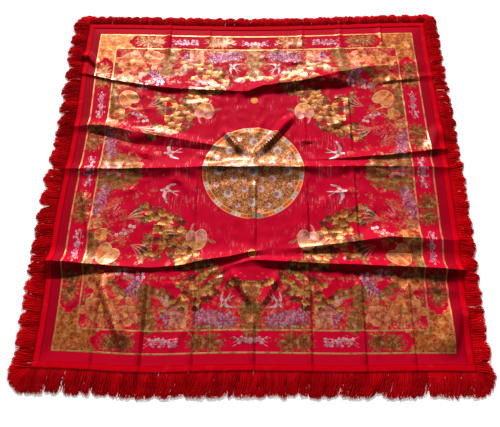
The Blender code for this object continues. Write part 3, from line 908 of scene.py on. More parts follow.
GOLD_BOUGHS = (
    Patch(0.310, 0.118, 0.258, 0.166, 0.011),
    Patch(0.258, 0.166, 0.214, 0.206, 0.017),
    Patch(0.248, 0.134, 0.206, 0.178, 0.011),
    Patch(0.214, 0.206, 0.176, 0.262, 0.024),
    Patch(0.216, 0.214, 0.262, 0.240, 0.014),
    Patch(0.176, 0.262, 0.112, 0.288, 0.014),
    Patch(0.108, 0.316, 0.150, 0.362, 0.020),
    Patch(0.150, 0.362, 0.210, 0.392, 0.014),
    Patch(0.182, 0.338, 0.150, 0.350, 0.010),
    Patch(0.014, 0.326, 0.066, 0.336, 0.004),
)
GREEN_LEAVES = (
    Patch(0.000, 0.352, 0.002, 0.440, 0.026),
    Patch(0.046, 0.440, 0.130, 0.442, 0.007),
    Patch(0.266, 0.442, 0.280, 0.372, 0.018),
    Patch(0.228, 0.358, 0.300, 0.344, 0.012),
    Patch(0.346, 0.018, 0.430, 0.036, 0.021),
    Patch(0.298, 0.262, 0.286, 0.206, 0.010),
    Patch(0.436, 0.200, 0.438, 0.306, 0.011),
    Patch(0.340, 0.360, 0.370, 0.330, 0.011),
)
PURPLE_CLUSTERS = (
    Patch(0.056, 0.430, 0.134, 0.416, 0.017),
    Patch(0.424, 0.060, 0.438, 0.128, 0.016),
    Patch(0.326, 0.352, 0.300, 0.322, 0.011),
    Patch(0.214, 0.436, 0.226, 0.408, 0.010),
)
WHITE_BLOSSOMS = (
    Patch(0.296, 0.314, 0.356, 0.300, 0.011),
    Patch(0.222, 0.378, 0.240, 0.356, 0.009),
    Patch(0.372, 0.200, 0.330, 0.176, 0.008),
    Patch(0.392, 0.004, 0.440, 0.004, 0.007),
)

Motif = namedtuple("Motif", "x y radius turn tone")

PEONIES = (
    Motif(0.392, 0.396, 0.050, 20, 0.15),
    Motif(0.326, 0.412, 0.038, 80, 0.45),
    Motif(0.410, 0.322, 0.038, 10, 0.05),
    Motif(0.184, 0.424, 0.027, 50, 0.90),
    Motif(0.436, 0.162, 0.022, 70, 0.60),
)
FRUITS = (
    Motif(0.392, 0.252, 0.040, -35, 0.2),
    Motif(0.414, 0.196, 0.024, -100, 0.0),
    Motif(0.152, 0.206, 0.038, 10, 0.9),
)
BIRDS = (
    Motif(0.070, 0.380, 0.030, 35, 0.0),
    Motif(0.246, 0.062, 0.036, -24, 0.0),
)
PLUMES = (
    Motif(0.352, 0.152, 0.060, -140, 0.2),
    Motif(0.388, 0.148, 0.052, -105, 0.7),
    Motif(0.334, 0.226, 0.056, 170, 0.4),
    Motif(0.236, 0.420, 0.064, -150, 0.9),
    Motif(0.300, 0.380, 0.046, -60, 0.5),
)
print("motifs in a quarter:", len(PEONIES + FRUITS + BIRDS + PLUMES))

# %% [markdown]
# ### The brocade
# The ground is crimson satin. The motifs are floats of gold, orange, white, violet and olive
# thread, so they are glossier or more metallic than the ground and stand slightly proud of
# it. The parts are laid over each other in the order of the weaver's repeat, from the ground
# up.

# %% Colours of the threads
CRIMSON = paint(214, 8, 48)
CRIMSON_DEEP = paint(190, 3, 36)
WINE = paint(206, 8, 40)
WINE_DARK = paint(170, 4, 30)
ROSE = paint(234, 122, 130)
GOLD = paint(220, 158, 68)
GOLD_DEEP = paint(170, 92, 34)
OLIVE = paint(140, 92, 46)
OLIVE_DEEP = paint(96, 52, 24)
GREEN = paint(148, 122, 52)
BRONZE = paint(202, 92, 42)
ORANGE = paint(212, 92, 30)
PEACH = paint(224, 146, 78)
CREAM = paint(238, 204, 148)
WHITE = paint(210, 184, 190)
PINK = paint(214, 130, 124)
VIOLET = paint(140, 82, 124)
LILAC = paint(176, 128, 168)
BROWN = paint(104, 28, 14)
HEART = paint(208, 104, 40)
RUST = paint(196, 60, 30)
RUST_DARK = paint(150, 30, 18)
VEIN = paint(178, 54, 32)
SALMON = paint(222, 110, 104)
BARK = paint(84, 30, 16)
MOSS = paint(122, 78, 34)
MOSS_PALE = paint(212, 122, 84)
GOLD_LINE = paint(228, 172, 104)
BRONZE_PALE = paint(214, 134, 58)
DISC_DARK = paint(140, 70, 34)
DISC_PALE = paint(200, 132, 70)
VINE_RED = paint(178, 46, 30)
GREY_GREEN = paint(178, 172, 146)
FLOWER_PINK = paint(214, 130, 118)
BLOCK_ORANGE = paint(226, 96, 40)
BLOCK_PALE = paint(190, 178, 172)
DAPPLE_DARK = paint(104, 22, 14)

OUTER_LINE = 0.507
INNER_LINE = 0.451
LINE_HALF = 0.0019
CROSS_FADE = 0.002  # how far the ground takes to turn from one red to the other

brocade = Finish("brocade", roughness=0.48, specular=0.02)
brocade.shader.inputs["Coat Roughness"].default_value = 0.30
mix, step, noise = brocade.mix, brocade.step, brocade.noise
point, vector, parts = brocade.point, brocade.vector, brocade.parts
uv = brocade.node("ShaderNodeUVMap", {"uv_map": "flat"})
flat_u, flat_v, _ = parts(uv)
a, b = flat_u.absolute(), flat_v.absolute()
quarter = point(a, b)
from_middle = (a * a + b * b) ** 0.5
around = a.most(b)
along_band = a.least(b)
ragged = noise(quarter, 90.0, detail=3.0, rough=0.6) - 0.5
in_field = step(around, INNER_LINE + 0.001, INNER_LINE - 0.001)
print("colours and woven coordinates ready")

# %% [markdown]
# Small leaves and blossoms come in hundreds, so each fills one cell of a Voronoi texture.
# The texture tells each point of a cell where the cell's middle is, and its random colour
# turns the motif, so the same short formula draws every leaf differently. A leaf is shown or
# left out by the place of its cell's middle, so none is cut at the edge of a growth.


# %% Cells, strips and nearest motifs
def voronoi(place, scale, spread, feature="F1"):
    """The outputs of a Voronoi texture, by name."""
    kind = {"voronoi_dimensions": "2D", "feature": feature}
    values = {"Vector": place, "Scale": scale, "Randomness": spread}
    made = brocade.node("ShaderNodeTexVoronoi", kind, values).socket.node
    return {output.name: Wire(brocade, output) for output in made.outputs}


class Cell:
    """A cell's own coordinates in metres, turned at random, and its random numbers."""

    def __init__(self, place, size, spread=1.0, lean=0.0, swing=FULL_TURN):
        found = voronoi(place, 1.0 / size, spread)
        self.middle = found["Position"]
        away = vector("SUBTRACT", place, self.middle)
        _, self.rise, _ = parts(away)
        self.number, self.shade, _ = parts(found["Color"])
        turned_place = brocade.turned(away, self.number * swing + lean)
        self.x, self.y, _ = parts(turned_place)


def arc_tangent(y, x):
    return y.math("ARCTAN2", x)


def warped(place, scale, reach):
    """A place moved by a noise, up to half of reach each way."""
    drift = vector("SUBTRACT", brocade.noise_colour(place, scale), (0.5, 0.5, 0.5))
    return vector("MULTIPLY_ADD", drift, (reach, reach, 0.0), place)


def blossom(cell, radius, notch=0.38, lobes=5):
    """Masks of round petals and of their heart."""
    away = (cell.x * cell.x + cell.y * cell.y) ** 0.5
    angle = arc_tangent(cell.y, cell.x)
    lobe = (angle * (lobes / 2.0)).cosine().absolute() * (notch * radius)
    lobe = lobe + (1.0 - notch) * radius
    return step(lobe - away, -0.0004, 0.0006), step(away, 0.30 * radius, 0.16 * radius)


def strip_distance(place, patches):
    """How far a place is from the nearest strip's line, in that strip's widths."""
    best = None
    for p in patches:
        dx, dy = p.x1 - p.x0, p.y1 - p.y0
        square = dx * dx + dy * dy
        start = vector("SUBTRACT", place, (p.x0, p.y0, 0.0))
        share = vector("DOT_PRODUCT", start, (dx / square, dy / square, 0.0), out=1)
        foot = vector("SCALE", (dx, dy, 0.0), scale=share.most(0.0).least(1.0))
        away = vector("DISTANCE", start, foot, out=1) * (1.0 / p.width)
        best = away if best is None else best.least(away)
    return best


def nearest_motif(place, motifs):
    """The place in radii from the nearest motif's middle, turned with it, and its tone."""
    best, best_away = None, None
    for m in motifs:
        moved = vector("SUBTRACT", place, (m.x, m.y, 0.0))
        moved = brocade.turned(moved, -math.radians(m.turn))
        away = vector("LENGTH", moved, out=1) * (1.0 / m.radius)
        scale = (1.0 / m.radius, 1.0 / m.radius, 0.0)
        local = vector("MULTIPLY_ADD", moved, scale, (0.0, 0.0, m.tone))
        if best is None:
            best, best_away = local, away
        else:
            values = {0: away < best_away, 4: best, 5: local}
            best = brocade.node("ShaderNodeMix", {"data_type": "VECTOR"}, values, out=1)
            best_away = best_away.least(away)
    return parts(best)


print("formulas for cells and motifs ready")

# %% Ground and undergrowth
streak = noise(point(a * 260.0, b * 30.0), 1.0, detail=4.0, rough=0.7)
streak = step(streak, 0.54, 0.66)
streak_place = noise(quarter, 17.0, detail=1.0)
streak_zone = step(from_middle, 0.33, 0.22) * step(from_middle, 0.150, 0.160)
streak_zone = streak_zone * step(streak_place, 0.42, 0.62)
slub = noise(point(flat_u * 60.0, flat_v * 900.0), 1.0, detail=1.0)
colour = mix(slub * 0.5, CRIMSON, CRIMSON_DEEP)
wine = mix(step(a - b, -0.030, 0.040), WINE, WINE_DARK)
colour = mix(step(around, OUTER_LINE, OUTER_LINE + CROSS_FADE), colour, wine)
colour = mix(streak * streak_zone * 0.72, colour, ROSE)

mist = noise(quarter, 30.0, detail=4.0, rough=0.7)
mist_tone = noise(point(a + 3.0, b), 24.0, detail=2.0, rough=0.6)
brush = noise(point(a * 90.0 + b * 60.0, b * 210.0 - a * 160.0), 1.0, detail=3.0)
mist_mask = step(mist + (around - 0.372) * 1.5, 0.47, 0.55) * in_field
mist_mask = mist_mask * step(brush, 0.36, 0.58)
mist_colour = mix(step(mist_tone, 0.42, 0.58), MOSS, MOSS_PALE)
mist_colour = mix(step(brush, 0.60, 0.70) * 0.6, mist_colour, CREAM)
colour = mix(mist_mask * 0.62, colour, mist_colour)

# In a layer, root is the colour of a leaf's painted shaded side and tip the colour of its
# painted lit side.
LeafLayer = namedtuple("LeafLayer", "shift size root tip later", defaults=(0.0,))

GREEN_LAYERS = (
    LeafLayer(0.0, 0.0140, OLIVE_DEEP, OLIVE),
    LeafLayer(0.4, 0.0122, OLIVE, GREEN),
)
PURPLE_CELL = 0.0074
PURPLE_RADIUS = 0.0040

leaves = None
for layer in GREEN_LAYERS:
    cell = Cell(vector("ADD", quarter, (layer.shift, 0.0, 0.0)), layer.size, spread=0.95)
    leaf_middle = vector("SUBTRACT", cell.middle, (layer.shift, 0.0, 0.0))
    green_on = strip_distance(leaf_middle, GREEN_LEAVES) + cell.shade * 0.6
    green_on = step(green_on, 1.36, 1.32)
    fingers, _ = blossom(cell, 0.68 * layer.size, notch=0.62, lobes=5)
    # Painted light and shade: each leaf runs from its layer's root colour on its inner side to
    # its tip colour on its outer side.
    green_painted_light = step(cell.rise + ragged * 0.016, -0.0050, 0.0050)
    green_leaf = mix(green_painted_light, layer.root, layer.tip)
    colour = mix(fingers * green_on * 0.86, colour, green_leaf)
    leaves = fingers * green_on if leaves is None else leaves.most(fingers * green_on)

purple_cell = Cell(quarter, PURPLE_CELL, spread=0.8)
petals, heart = blossom(purple_cell, PURPLE_RADIUS)
purple_on = strip_distance(purple_cell.middle, PURPLE_CLUSTERS) + purple_cell.number * 0.5
purple = mix(step(purple_cell.shade, 0.3, 0.7), VIOLET, LILAC)
purple_mask = petals * step(purple_on, 1.32, 1.28)
colour = mix(purple_mask, colour, mix(heart, purple, WHITE))
thread = leaves.most(purple_mask).most(mist_mask * 0.5).most(streak * streak_zone)
print("ground and foliage drawn")

# %% [markdown]
# A bough is a mass of scalloped gold leaves in three layers, the lowest dark. Each leaf has
# painted light on its outer side and painted shade, darker and browner, on its inner side,
# with a dark middle vein, and the top layer has a cream painted highlight along its outer
# edge. One layer alone would show the cells that its leaves are drawn in.

# %% Golden boughs
BOUGH_LAYERS = (
    LeafLayer(0.0, 0.0260, BARK, OLIVE_DEEP),
    LeafLayer(0.7, 0.0230, OLIVE_DEEP, GOLD_DEEP, 0.20),
    LeafLayer(1.3, 0.0205, GOLD_DEEP, GOLD, 0.30),
)
BOUGH_DRIFT = 0.010
WHITE_CELL = 0.0120
WHITE_RADIUS = 0.0058
BOUGH_REACH = 0.62  # under 1, so that leaves stand a little outside their strip too

bough_place = warped(quarter, 60.0, BOUGH_DRIFT)
bough, gold = None, None
for layer in BOUGH_LAYERS:
    shifted = vector("ADD", bough_place, (layer.shift, 0.0, 0.0))
    leaf = Cell(shifted, layer.size, spread=1.0, lean=-1.1, swing=2.0)
    leaf_middle = vector("SUBTRACT", leaf.middle, (layer.shift, 0.0, 0.0))
    reach_of = strip_distance(leaf_middle, GOLD_BOUGHS) * BOUGH_REACH
    reach_of = reach_of + leaf.shade * 0.5 + layer.later
    long, wide = leaf.x * (1.0 / (0.66 * layer.size)), leaf.y * (1.0 / (0.36 * layer.size))
    scalloped = long * long + wide.absolute() * 1.05 + (leaf.x * 1100.0).cosine() * 0.16
    shape = step(scalloped, 1.06, 0.96) * step(reach_of, 1.42, 1.38)
    # Painted light and shade: each leaf runs from its layer's root colour on its inner side to
    # its tip colour on its outer side.
    leaf_painted_light = step(leaf.rise + ragged * 0.024, -0.0060, 0.0050)
    leaf_colour = mix(leaf_painted_light, layer.root, layer.tip)
    leaf_vein = step(wide.absolute(), 0.16, 0.06)
    leaf_colour = mix(leaf_vein * 0.5, leaf_colour, layer.root)
    colour = mix(shape * 0.95, colour, leaf_colour)
    bough = shape if bough is None else bough.most(shape)
    gold = shape * leaf_painted_light
# Painted highlight: cream on the outer edge of the painted-lit part (gold) of the top layer's
# leaves.
leaf_painted_highlight = step(leaf.rise + ragged * 0.020, 0.0020, 0.0070)
colour = mix(gold * leaf_painted_highlight * 0.55, colour, CREAM)
metal = (bough * 0.35).most(gold)

white_cell = Cell(quarter, WHITE_CELL, spread=0.85)
petals, heart = blossom(white_cell, WHITE_RADIUS)
white_on = strip_distance(white_cell.middle, WHITE_BLOSSOMS) + white_cell.shade * 0.5
white_mask = petals * step(white_on, 1.32, 1.28)
white_flower = mix(step(white_cell.number, 0.45, 0.6), WHITE, PINK)
colour = mix(white_mask, colour, mix(heart, white_flower, HEART))
thread = thread.most(bough).most(white_mask)
print("boughs and white blossoms drawn")

# %% [markdown]
# A peony is made of petals that overlap outwards. Its own coordinates are in radii and
# slightly warped, so the cells of a second Voronoi texture become its petals: each is dark
# at the side of the flower's heart and pale at the other, with a cream edge. A tone moves
# the flower from orange to pink.

# %% Peonies
PETALS_PER_RADIUS = 1.9
PETAL_SPREAD = 0.85
PETAL_DRIFT = 0.55

px, py, tone = nearest_motif(quarter, PEONIES)
petal_place = warped(point(px, py), 2.6, PETAL_DRIFT)
petal = voronoi(petal_place, PETALS_PER_RADIUS, PETAL_SPREAD)
petal_middle = petal["Position"]
petal_random, petal_pick, _ = parts(petal["Color"])
petal_edges = voronoi(petal_place, PETALS_PER_RADIUS, PETAL_SPREAD, "DISTANCE_TO_EDGE")
outward = vector("NORMALIZE", petal_middle)
from_petal = vector("SUBTRACT", petal_place, petal_middle)
reach = vector("DOT_PRODUCT", from_petal, outward, out=1)
petal_far = vector("LENGTH", petal_middle, out=1)
shape = step(petal_far + petal_random * 0.22, 1.02, 1.00)
warm = mix(tone, ORANGE, SALMON)
warm = mix(step(petal_pick, 0.5, 0.9) * 0.6, warm, RUST)
pale = mix(step(petal_random, 0.2, 0.8), mix(tone, ORANGE, PEACH), PEACH)
flower = mix(step(reach, -0.22, 0.30), warm, pale)
petal_line = step(petal_edges["Distance"] + ragged * 0.06, 0.085, 0.020)
flower = mix(petal_line * 0.55, flower, CREAM)
vein_turn = arc_tangent(py, px) * 30.0 + petal_random * 9.0 + ragged * 5.0
vein = step(vein_turn.sine(), 0.20, 0.90) * step(reach, -0.20, 0.10)
flower = mix(vein * 0.40, flower, mix(petal_pick, CREAM, VEIN))
petal_root = step(reach, -0.06, -0.24) * 0.55
flower = mix(petal_root, flower, RUST_DARK)
stamen = step((px * px + py * py) ** 0.5 + ragged * 0.2, 0.20, 0.12)
flower = mix(stamen, flower, GOLD)
bloom = shape * in_field
colour = mix(bloom, colour, flower)
metal = metal * (1.0 - shape) + petal_line * shape * 0.5
thread = thread.most(shape)
print("peonies drawn")

# %% [markdown]
# A fruit is a heart-shaped body, orange at its shoulder and pink below, with three narrow
# leaves and a short wavy tail. A plume is a fan of fine lines from one root. A small bird is
# an oval body, swept wings and a forked tail, each an ellipse in the bird's own coordinates.


# %% Fruits, plumes and birds
Oval = namedtuple("Oval", "x y long wide turn")

FRUIT_LEAVES = (
    Oval(0.86, 0.44, 0.52, 0.13, 28),
    Oval(-0.92, 0.30, 0.46, 0.12, -34),
    Oval(0.78, -0.30, 0.50, 0.11, -38),
)
BIRD_BODY = (
    Oval(0.02, 0.0, 0.40, 0.14, 14),
    Oval(0.40, 0.13, 0.13, 0.10, 20),
    Oval(-0.62, -0.04, 0.42, 0.040, -8),
    Oval(-0.58, -0.20, 0.42, 0.040, 26),
)
BIRD_WINGS = (
    Oval(0.02, 0.30, 0.34, 0.15, 98),
    Oval(-0.22, 0.66, 0.44, 0.09, 136),
    Oval(0.06, -0.26, 0.30, 0.13, 72),
    Oval(-0.12, -0.58, 0.40, 0.08, 40),
)
BIRD_BREAST = (Oval(0.06, -0.04, 0.20, 0.08, 14),)


def inside_ovals(x, y, ovals):
    """1 inside any of the ellipses, each with its long axis turned by so many degrees."""
    inside = None
    for o in ovals:
        c, s = math.cos(math.radians(o.turn)), math.sin(math.radians(o.turn))
        along_x = ((x - o.x) * c + (y - o.y) * s) / o.long
        along_y = ((y - o.y) * c - (x - o.x) * s) / o.wide
        shape = step(along_x * along_x + along_y * along_y, 1.12, 0.88)
        inside = shape if inside is None else inside.most(shape)
    return inside


plume_x, plume_y, plume_tone = nearest_motif(quarter, PLUMES)
plume_away = (plume_x * plume_x + plume_y * plume_y) ** 0.5
plume_angle = arc_tangent(plume_y, plume_x) + plume_away * 0.35
hairs = step((plume_angle * 21.0 + ragged * 2.0).sine(), 0.15, 0.80)
plume_mask = hairs * step(plume_angle.absolute(), 0.62, 0.40)
plume_mask = plume_mask * step(plume_away + ragged * 0.5, 1.0, 0.7)
colour = mix(plume_mask * in_field * 0.62, colour, mix(plume_tone, CREAM, LILAC))

fx, fy, fruit_tone = nearest_motif(quarter, FRUITS)
side_x = fx.absolute()
cheek_x, cheek_y = side_x * 0.94 + fy * 0.34 - 0.24, fy * 0.94 - side_x * 0.34 - 0.02
heart_away = ((cheek_x * (1.0 / 0.50)) ** 2.0 + (cheek_y * (1.0 / 0.78)) ** 2.0) ** 0.5
fruit = step(heart_away + ragged * 0.10, 1.03, 0.97)
fruit_leaves = inside_ovals(fx, fy, FRUIT_LEAVES)
tail_bend = (fy * 3.6 + 0.8).sine() * 0.22
tendril = step((fx + tail_bend - 0.10).absolute() - fy * -0.02, 0.085, 0.045)
tendril = tendril * step(fy, -0.30, -0.40) * step(fy, -1.22, -1.05)
fruit_low = mix(fruit_tone, PEACH, PINK)
fruit_light = step(fy + fx * 0.25 + ragged * 0.4, -0.20, 0.45)
fruit_colour = mix(fruit_light, fruit_low, mix(fruit_tone, ORANGE, PEACH))
fruit_line = step((heart_away - 0.97).absolute(), 0.10, 0.02)
seam = step((fx - fy * 0.12).absolute(), 0.05, 0.02) * step(fy, -0.25, 0.20)
fruit_colour = mix(fruit_line.most(seam) * 0.6, fruit_colour, CREAM)
leaf_vein = step((fx * 26.0 + fy.absolute() * 20.0).sine(), 0.2, 0.8)
fruit_leaf = mix(leaf_vein, OLIVE, mix(fruit_tone, GREEN, PINK))
colour = mix(fruit_leaves * (1.0 - fruit) * 0.85, colour, fruit_leaf)
tendril = tendril * (1.0 - fruit)
colour = mix(tendril * 0.8, colour, mix(fruit_tone, PEACH, PINK))
colour = mix(fruit, colour, fruit_colour)
metal = metal * (1.0 - fruit)

bx, by, _ = nearest_motif(quarter, BIRDS)
body = inside_ovals(bx, by, BIRD_BODY)
wings = inside_ovals(bx, by, BIRD_WINGS)
bird_colour = mix(step((by * 34.0).sine(), 0.0, 0.9) * 0.7, WHITE, PINK)
bird_colour = mix(inside_ovals(bx, by, BIRD_BREAST), bird_colour, HEART)
bird_mask = body.most(wings)
colour = mix(bird_mask, colour, bird_colour)
thread = thread.most(plume_mask * in_field).most(fruit).most(tendril).most(bird_mask)
print("fruits, plumes and birds drawn")

# %% [markdown]
# ### The border
# A band runs round the cloth between two gold lines. Along it, sprays of small white
# blossoms on twigs take turns with sprigs of fingered olive leaves. A sprig is six leaves
# that fan outwards from its middle. The band's four corners are solid bronze scrolls, with a
# notched end to each arm.

# %% Border sprigs and corner scrolls
SPRIG_STEP = 0.114
CORNER_START = 0.402
SPRAY_CELL = 0.0092
SPRAY_RADIUS = 0.0044
SPRAY_LONG = 0.046
SPRAY_WIDE = 0.024

SprigLeaf = namedtuple("SprigLeaf", "x y size turn fingers")

SPRIG_LEAVES = (
    SprigLeaf(-0.004, 0.000, 0.030, -120, 11),
    SprigLeaf(0.012, 0.002, 0.028, -50, 11),
    SprigLeaf(-0.010, 0.002, 0.044, 172, 15),
    SprigLeaf(0.010, -0.004, 0.046, 14, 15),
    SprigLeaf(-0.006, -0.004, 0.036, 112, 11),
    SprigLeaf(0.014, -0.002, 0.030, 66, 9),
)

band_middle = (OUTER_LINE + INNER_LINE) / 2.0
turn = along_band / SPRIG_STEP
number = turn.nearest()
sprig_x = along_band - number * SPRIG_STEP
sprig_y = around - band_middle
is_leaf = ((number * 0.5).part()) * 2.0
band = step(around, INNER_LINE + 0.001, INNER_LINE + 0.003)
band = band * step(around, OUTER_LINE - 0.001, OUTER_LINE - 0.003)
run_on = step(along_band, CORNER_START - 0.002, CORNER_START - 0.006)

flip = 1.0 - step(number, 1.5, 2.5) * 2.0
sprig_leaf, sprig_light = None, None
for leaf in SPRIG_LEAVES:
    leaf_x, leaf_y = sprig_x * flip - leaf.x, sprig_y - leaf.y
    leaf_away = (leaf_x * leaf_x + leaf_y * leaf_y) ** 0.5
    leaf_angle = arc_tangent(leaf_y, leaf_x) + ragged * 0.8
    fingers = (leaf_angle * (leaf.fingers / 2.0)).cosine().absolute()
    forward = ((leaf_angle - math.radians(leaf.turn)).cosine() * 0.5 + 0.5) ** 1.3
    leaf_edge = (fingers ** 1.4 * 0.62 + 0.38) * forward * leaf.size
    shown = step(leaf_edge - leaf_away + ragged * 0.010, -0.0004, 0.0008)
    light = step(fingers + leaf_away * 14.0, 0.70, 1.10)
    covered = shown if sprig_leaf is None else sprig_leaf.most(shown)
    sprig_light = light if sprig_light is None else sprig_light * (1.0 - shown) + light * shown
    sprig_leaf = covered
sprig_leaf = sprig_leaf * is_leaf * band * run_on
sprig_colour = mix(sprig_light, OLIVE_DEEP, OLIVE)
sprig_colour = mix(step(ragged, 0.00, 0.16) * 0.6, sprig_colour, GOLD)
colour = mix(sprig_leaf * 0.90, colour, sprig_colour)
metal = metal.most(sprig_leaf * 0.6)

twig_wave = (sprig_x * 190.0).sine() * 0.0022 + ragged * 0.006
twig_y = sprig_x.absolute() * 0.42 - 0.008 + twig_wave
low_twig_y = sprig_x.absolute() * -0.16 - 0.002 - twig_wave
middle_twig_y = sprig_x.absolute() * 0.10 - 0.004 + twig_wave * 1.6
from_twig = (sprig_y - twig_y).absolute().least((sprig_y - low_twig_y).absolute())
from_twig = from_twig.least((sprig_y - middle_twig_y).absolute())
twig = step(from_twig, 0.0009, 0.0004)
twig = twig * step(sprig_x.absolute(), SPRAY_LONG, SPRAY_LONG - 0.004)
on_spray = (1.0 - is_leaf) * band * run_on
band_cell = Cell(quarter, SPRAY_CELL, spread=0.9)
petals, heart = blossom(band_cell, SPRAY_RADIUS, notch=0.5)
spray_room = (sprig_x * (1.0 / SPRAY_LONG)) ** 2.0 * 0.6
spray_room = spray_room + ((sprig_y - 0.001) * (1.0 / SPRAY_WIDE)) ** 2.0
spray_room = spray_room + band_cell.shade * 0.85 + from_twig * 34.0
spray = petals * step(spray_room, 0.98, 0.90) * on_spray
colour = mix(twig * on_spray * 0.75, colour, WHITE)
spray_colour = mix(step(band_cell.number, 0.6, 0.8), WHITE, LILAC)
colour = mix(spray, colour, mix(heart, spray_colour, HEART))
thread = thread.most(twig * on_spray).most(sprig_leaf).most(spray)

notch = sprig_y.absolute() * 0.9 + (sprig_y * 260.0).cosine().absolute() * 0.006
corner_zone = step(along_band + notch, CORNER_START + 0.015, CORNER_START + 0.017) * band
swirl = noise(quarter, 60.0, detail=1.5)
scroll = (from_middle * 300.0 + swirl * 30.0).sine()
scroll_line = step(scroll.absolute(), 0.30, 0.12)
scroll_colour = mix(step(swirl, 0.35, 0.65), BRONZE, BRONZE_PALE)
scroll_colour = mix(scroll_line * 0.60, scroll_colour, PEACH)
holes = noise(quarter, 150.0, detail=0.0)
scroll_colour = mix(step(holes, 0.70, 0.76) * 0.8, scroll_colour, BROWN)
colour = mix(corner_zone * 0.94, colour, scroll_colour)
metal = metal.most(corner_zone)
thread = thread.most(corner_zone)

lines = step((around - OUTER_LINE).absolute(), LINE_HALF + 0.0003, LINE_HALF - 0.0003)
inner_line = step((around - INNER_LINE).absolute(), LINE_HALF + 0.0002, LINE_HALF - 0.0004)
lines = lines.most(inner_line)
colour = mix(lines, colour, GOLD_LINE)
metal = metal.most(lines * 1.6)
thread = thread.most(lines)
print("border drawn")

# %% [markdown]
# ### The medallion
# The middle is a bronze disc covered by red vines and round flowers. It is drawn in polar
# coordinates: the angle is folded into eight equal slices, and a flower placed once shows in
# each slice. A rim of small blocks, in turn orange and pale, closes it.

# %% Medallion
RIM_OUTER = 0.146
RIM_INNER = 0.1345
BLOCKS = 84
BLOCK_GROUPS = 14
SLICES = 8
DISC_CELL = 0.0092
DISC_LEAF = 0.0042

DiscFlower = namedtuple("DiscFlower", "line place size colour petals")

DISC_FLOWERS = (
    DiscFlower("between", 0.060, 0.0125, FLOWER_PINK, 3),
    DiscFlower("on", 0.100, 0.0145, GREY_GREEN, 9),
    DiscFlower("between", 0.114, 0.0095, PINK, 3),
    DiscFlower("centre", 0.0, 0.0185, GREY_GREEN, 8),
    DiscFlower("on", 0.036, 0.0075, PEACH, 5),
)
COIN_PLACE = 0.248
COIN_RADIUS = 0.0112
COIN_RING = 0.0062

polar = arc_tangent(flat_v, flat_u)
slice_turn = polar * (SLICES / FULL_TURN)
offset = (slice_turn - slice_turn.nearest()) * (FULL_TURN / SLICES)
inner_x, inner_y = offset.cosine() * from_middle, offset.sine() * from_middle
half_turn = slice_turn + 0.5
half_offset = (half_turn - half_turn.nearest()) * (FULL_TURN / SLICES)
outer_x, outer_y = half_offset.cosine() * from_middle, half_offset.sine() * from_middle


def round_flower(below, x, y, flower):
    """A round flower on the line y = 0 of a slice, laid over the colour below."""
    size = flower.size
    dx = x - flower.place
    away = (dx * dx + y * y) ** 0.5
    turned_to = arc_tangent(y, dx)
    edge = (turned_to * (flower.petals / 2.0)).cosine().absolute() * (0.24 * size) + 0.76 * size
    inside = step(edge - away, -0.0003, 0.0005)
    ring = step((edge - away).absolute(), 0.0012, 0.0002)
    ring = ring * step(y, 0.3 * size, -0.3 * size)
    core = step(away + (y + dx) * 0.35, 0.52 * size, 0.30 * size)
    eye = step(away, 0.30 * size, 0.10 * size)
    petal_shade = mix(step(away, 0.45 * size, 0.95 * size), WHITE, flower.colour)
    petal_gap = step((turned_to * (flower.petals / 2.0)).cosine().absolute(), 0.30, 0.10)
    shown = mix(petal_gap * 0.5, petal_shade, OLIVE)
    shown = mix(core * 0.85, shown, OLIVE)
    shown = mix(eye, shown, HEART)
    shown = mix(ring * 0.7, shown, BROWN)
    return mix(inside, below, shown), inside


mirrored = point(inner_x, inner_y.absolute())
vine_noise = noise(mirrored, 52.0, detail=1.5)
vine = ((from_middle * 250.0) + vine_noise * 26.0).sine().absolute()
vine_line = step(vine, 0.36, 0.18)
small_cell = Cell(mirrored, DISC_CELL, spread=0.75)
small_leaf, small_heart = blossom(small_cell, DISC_LEAF, notch=0.5)
disc = mix(step(vine_noise, 0.35, 0.65), DISC_DARK, DISC_PALE)
disc = mix(vine_line * 0.85, disc, VINE_RED)
small_colour = mix(step(small_cell.shade, 0.3, 0.5), PEACH, OLIVE)
disc = mix(small_leaf * 0.75, disc, mix(small_heart, small_colour, ORANGE))
fleck = noise(mirrored, 240.0, detail=2.0)
disc = mix(step(fleck, 0.47, 0.37) * 0.60, disc, BROWN)
disc = mix(step(fleck, 0.55, 0.67) * 0.55, disc, CREAM)
slice_places = {
    "on": (inner_x, inner_y),
    "between": (outer_x, outer_y),
    "centre": (flat_u, flat_v),
}
shown = []
for flower in DISC_FLOWERS:
    disc, mask = round_flower(disc, *slice_places[flower.line], flower)
    shown.append(mask)
flowers = shown[0]
for mask in shown[1:]:
    flowers = flowers.most(mask)
block = (polar * (BLOCKS / FULL_TURN)).part()
group = (polar * (BLOCK_GROUPS / FULL_TURN)).part()
block_colour = mix(step(group, 0.47, 0.53), BLOCK_ORANGE, BLOCK_PALE)
block_gap = step((block - 0.5).absolute(), 0.36, 0.44)
block_colour = mix(block_gap * 0.6, block_colour, BROWN)
in_rim = step(from_middle, RIM_INNER - 0.0004, RIM_INNER + 0.0004)
disc = mix(in_rim, disc, block_colour)
rim_lines = step((from_middle - RIM_INNER).absolute(), 0.0016, 0.0008)
rim_lines = rim_lines.most(step((from_middle - RIM_OUTER).absolute(), 0.0018, 0.0010))
disc = mix(rim_lines, disc, GOLD_LINE)
on_disc = step(from_middle, RIM_OUTER + 0.0016, RIM_OUTER + 0.0004)
colour = mix(on_disc, colour, disc)
metal = metal * (1.0 - on_disc) + on_disc * 0.30 * (1.0 - flowers) * (1.0 - vine_line)
thread = thread.most(on_disc)

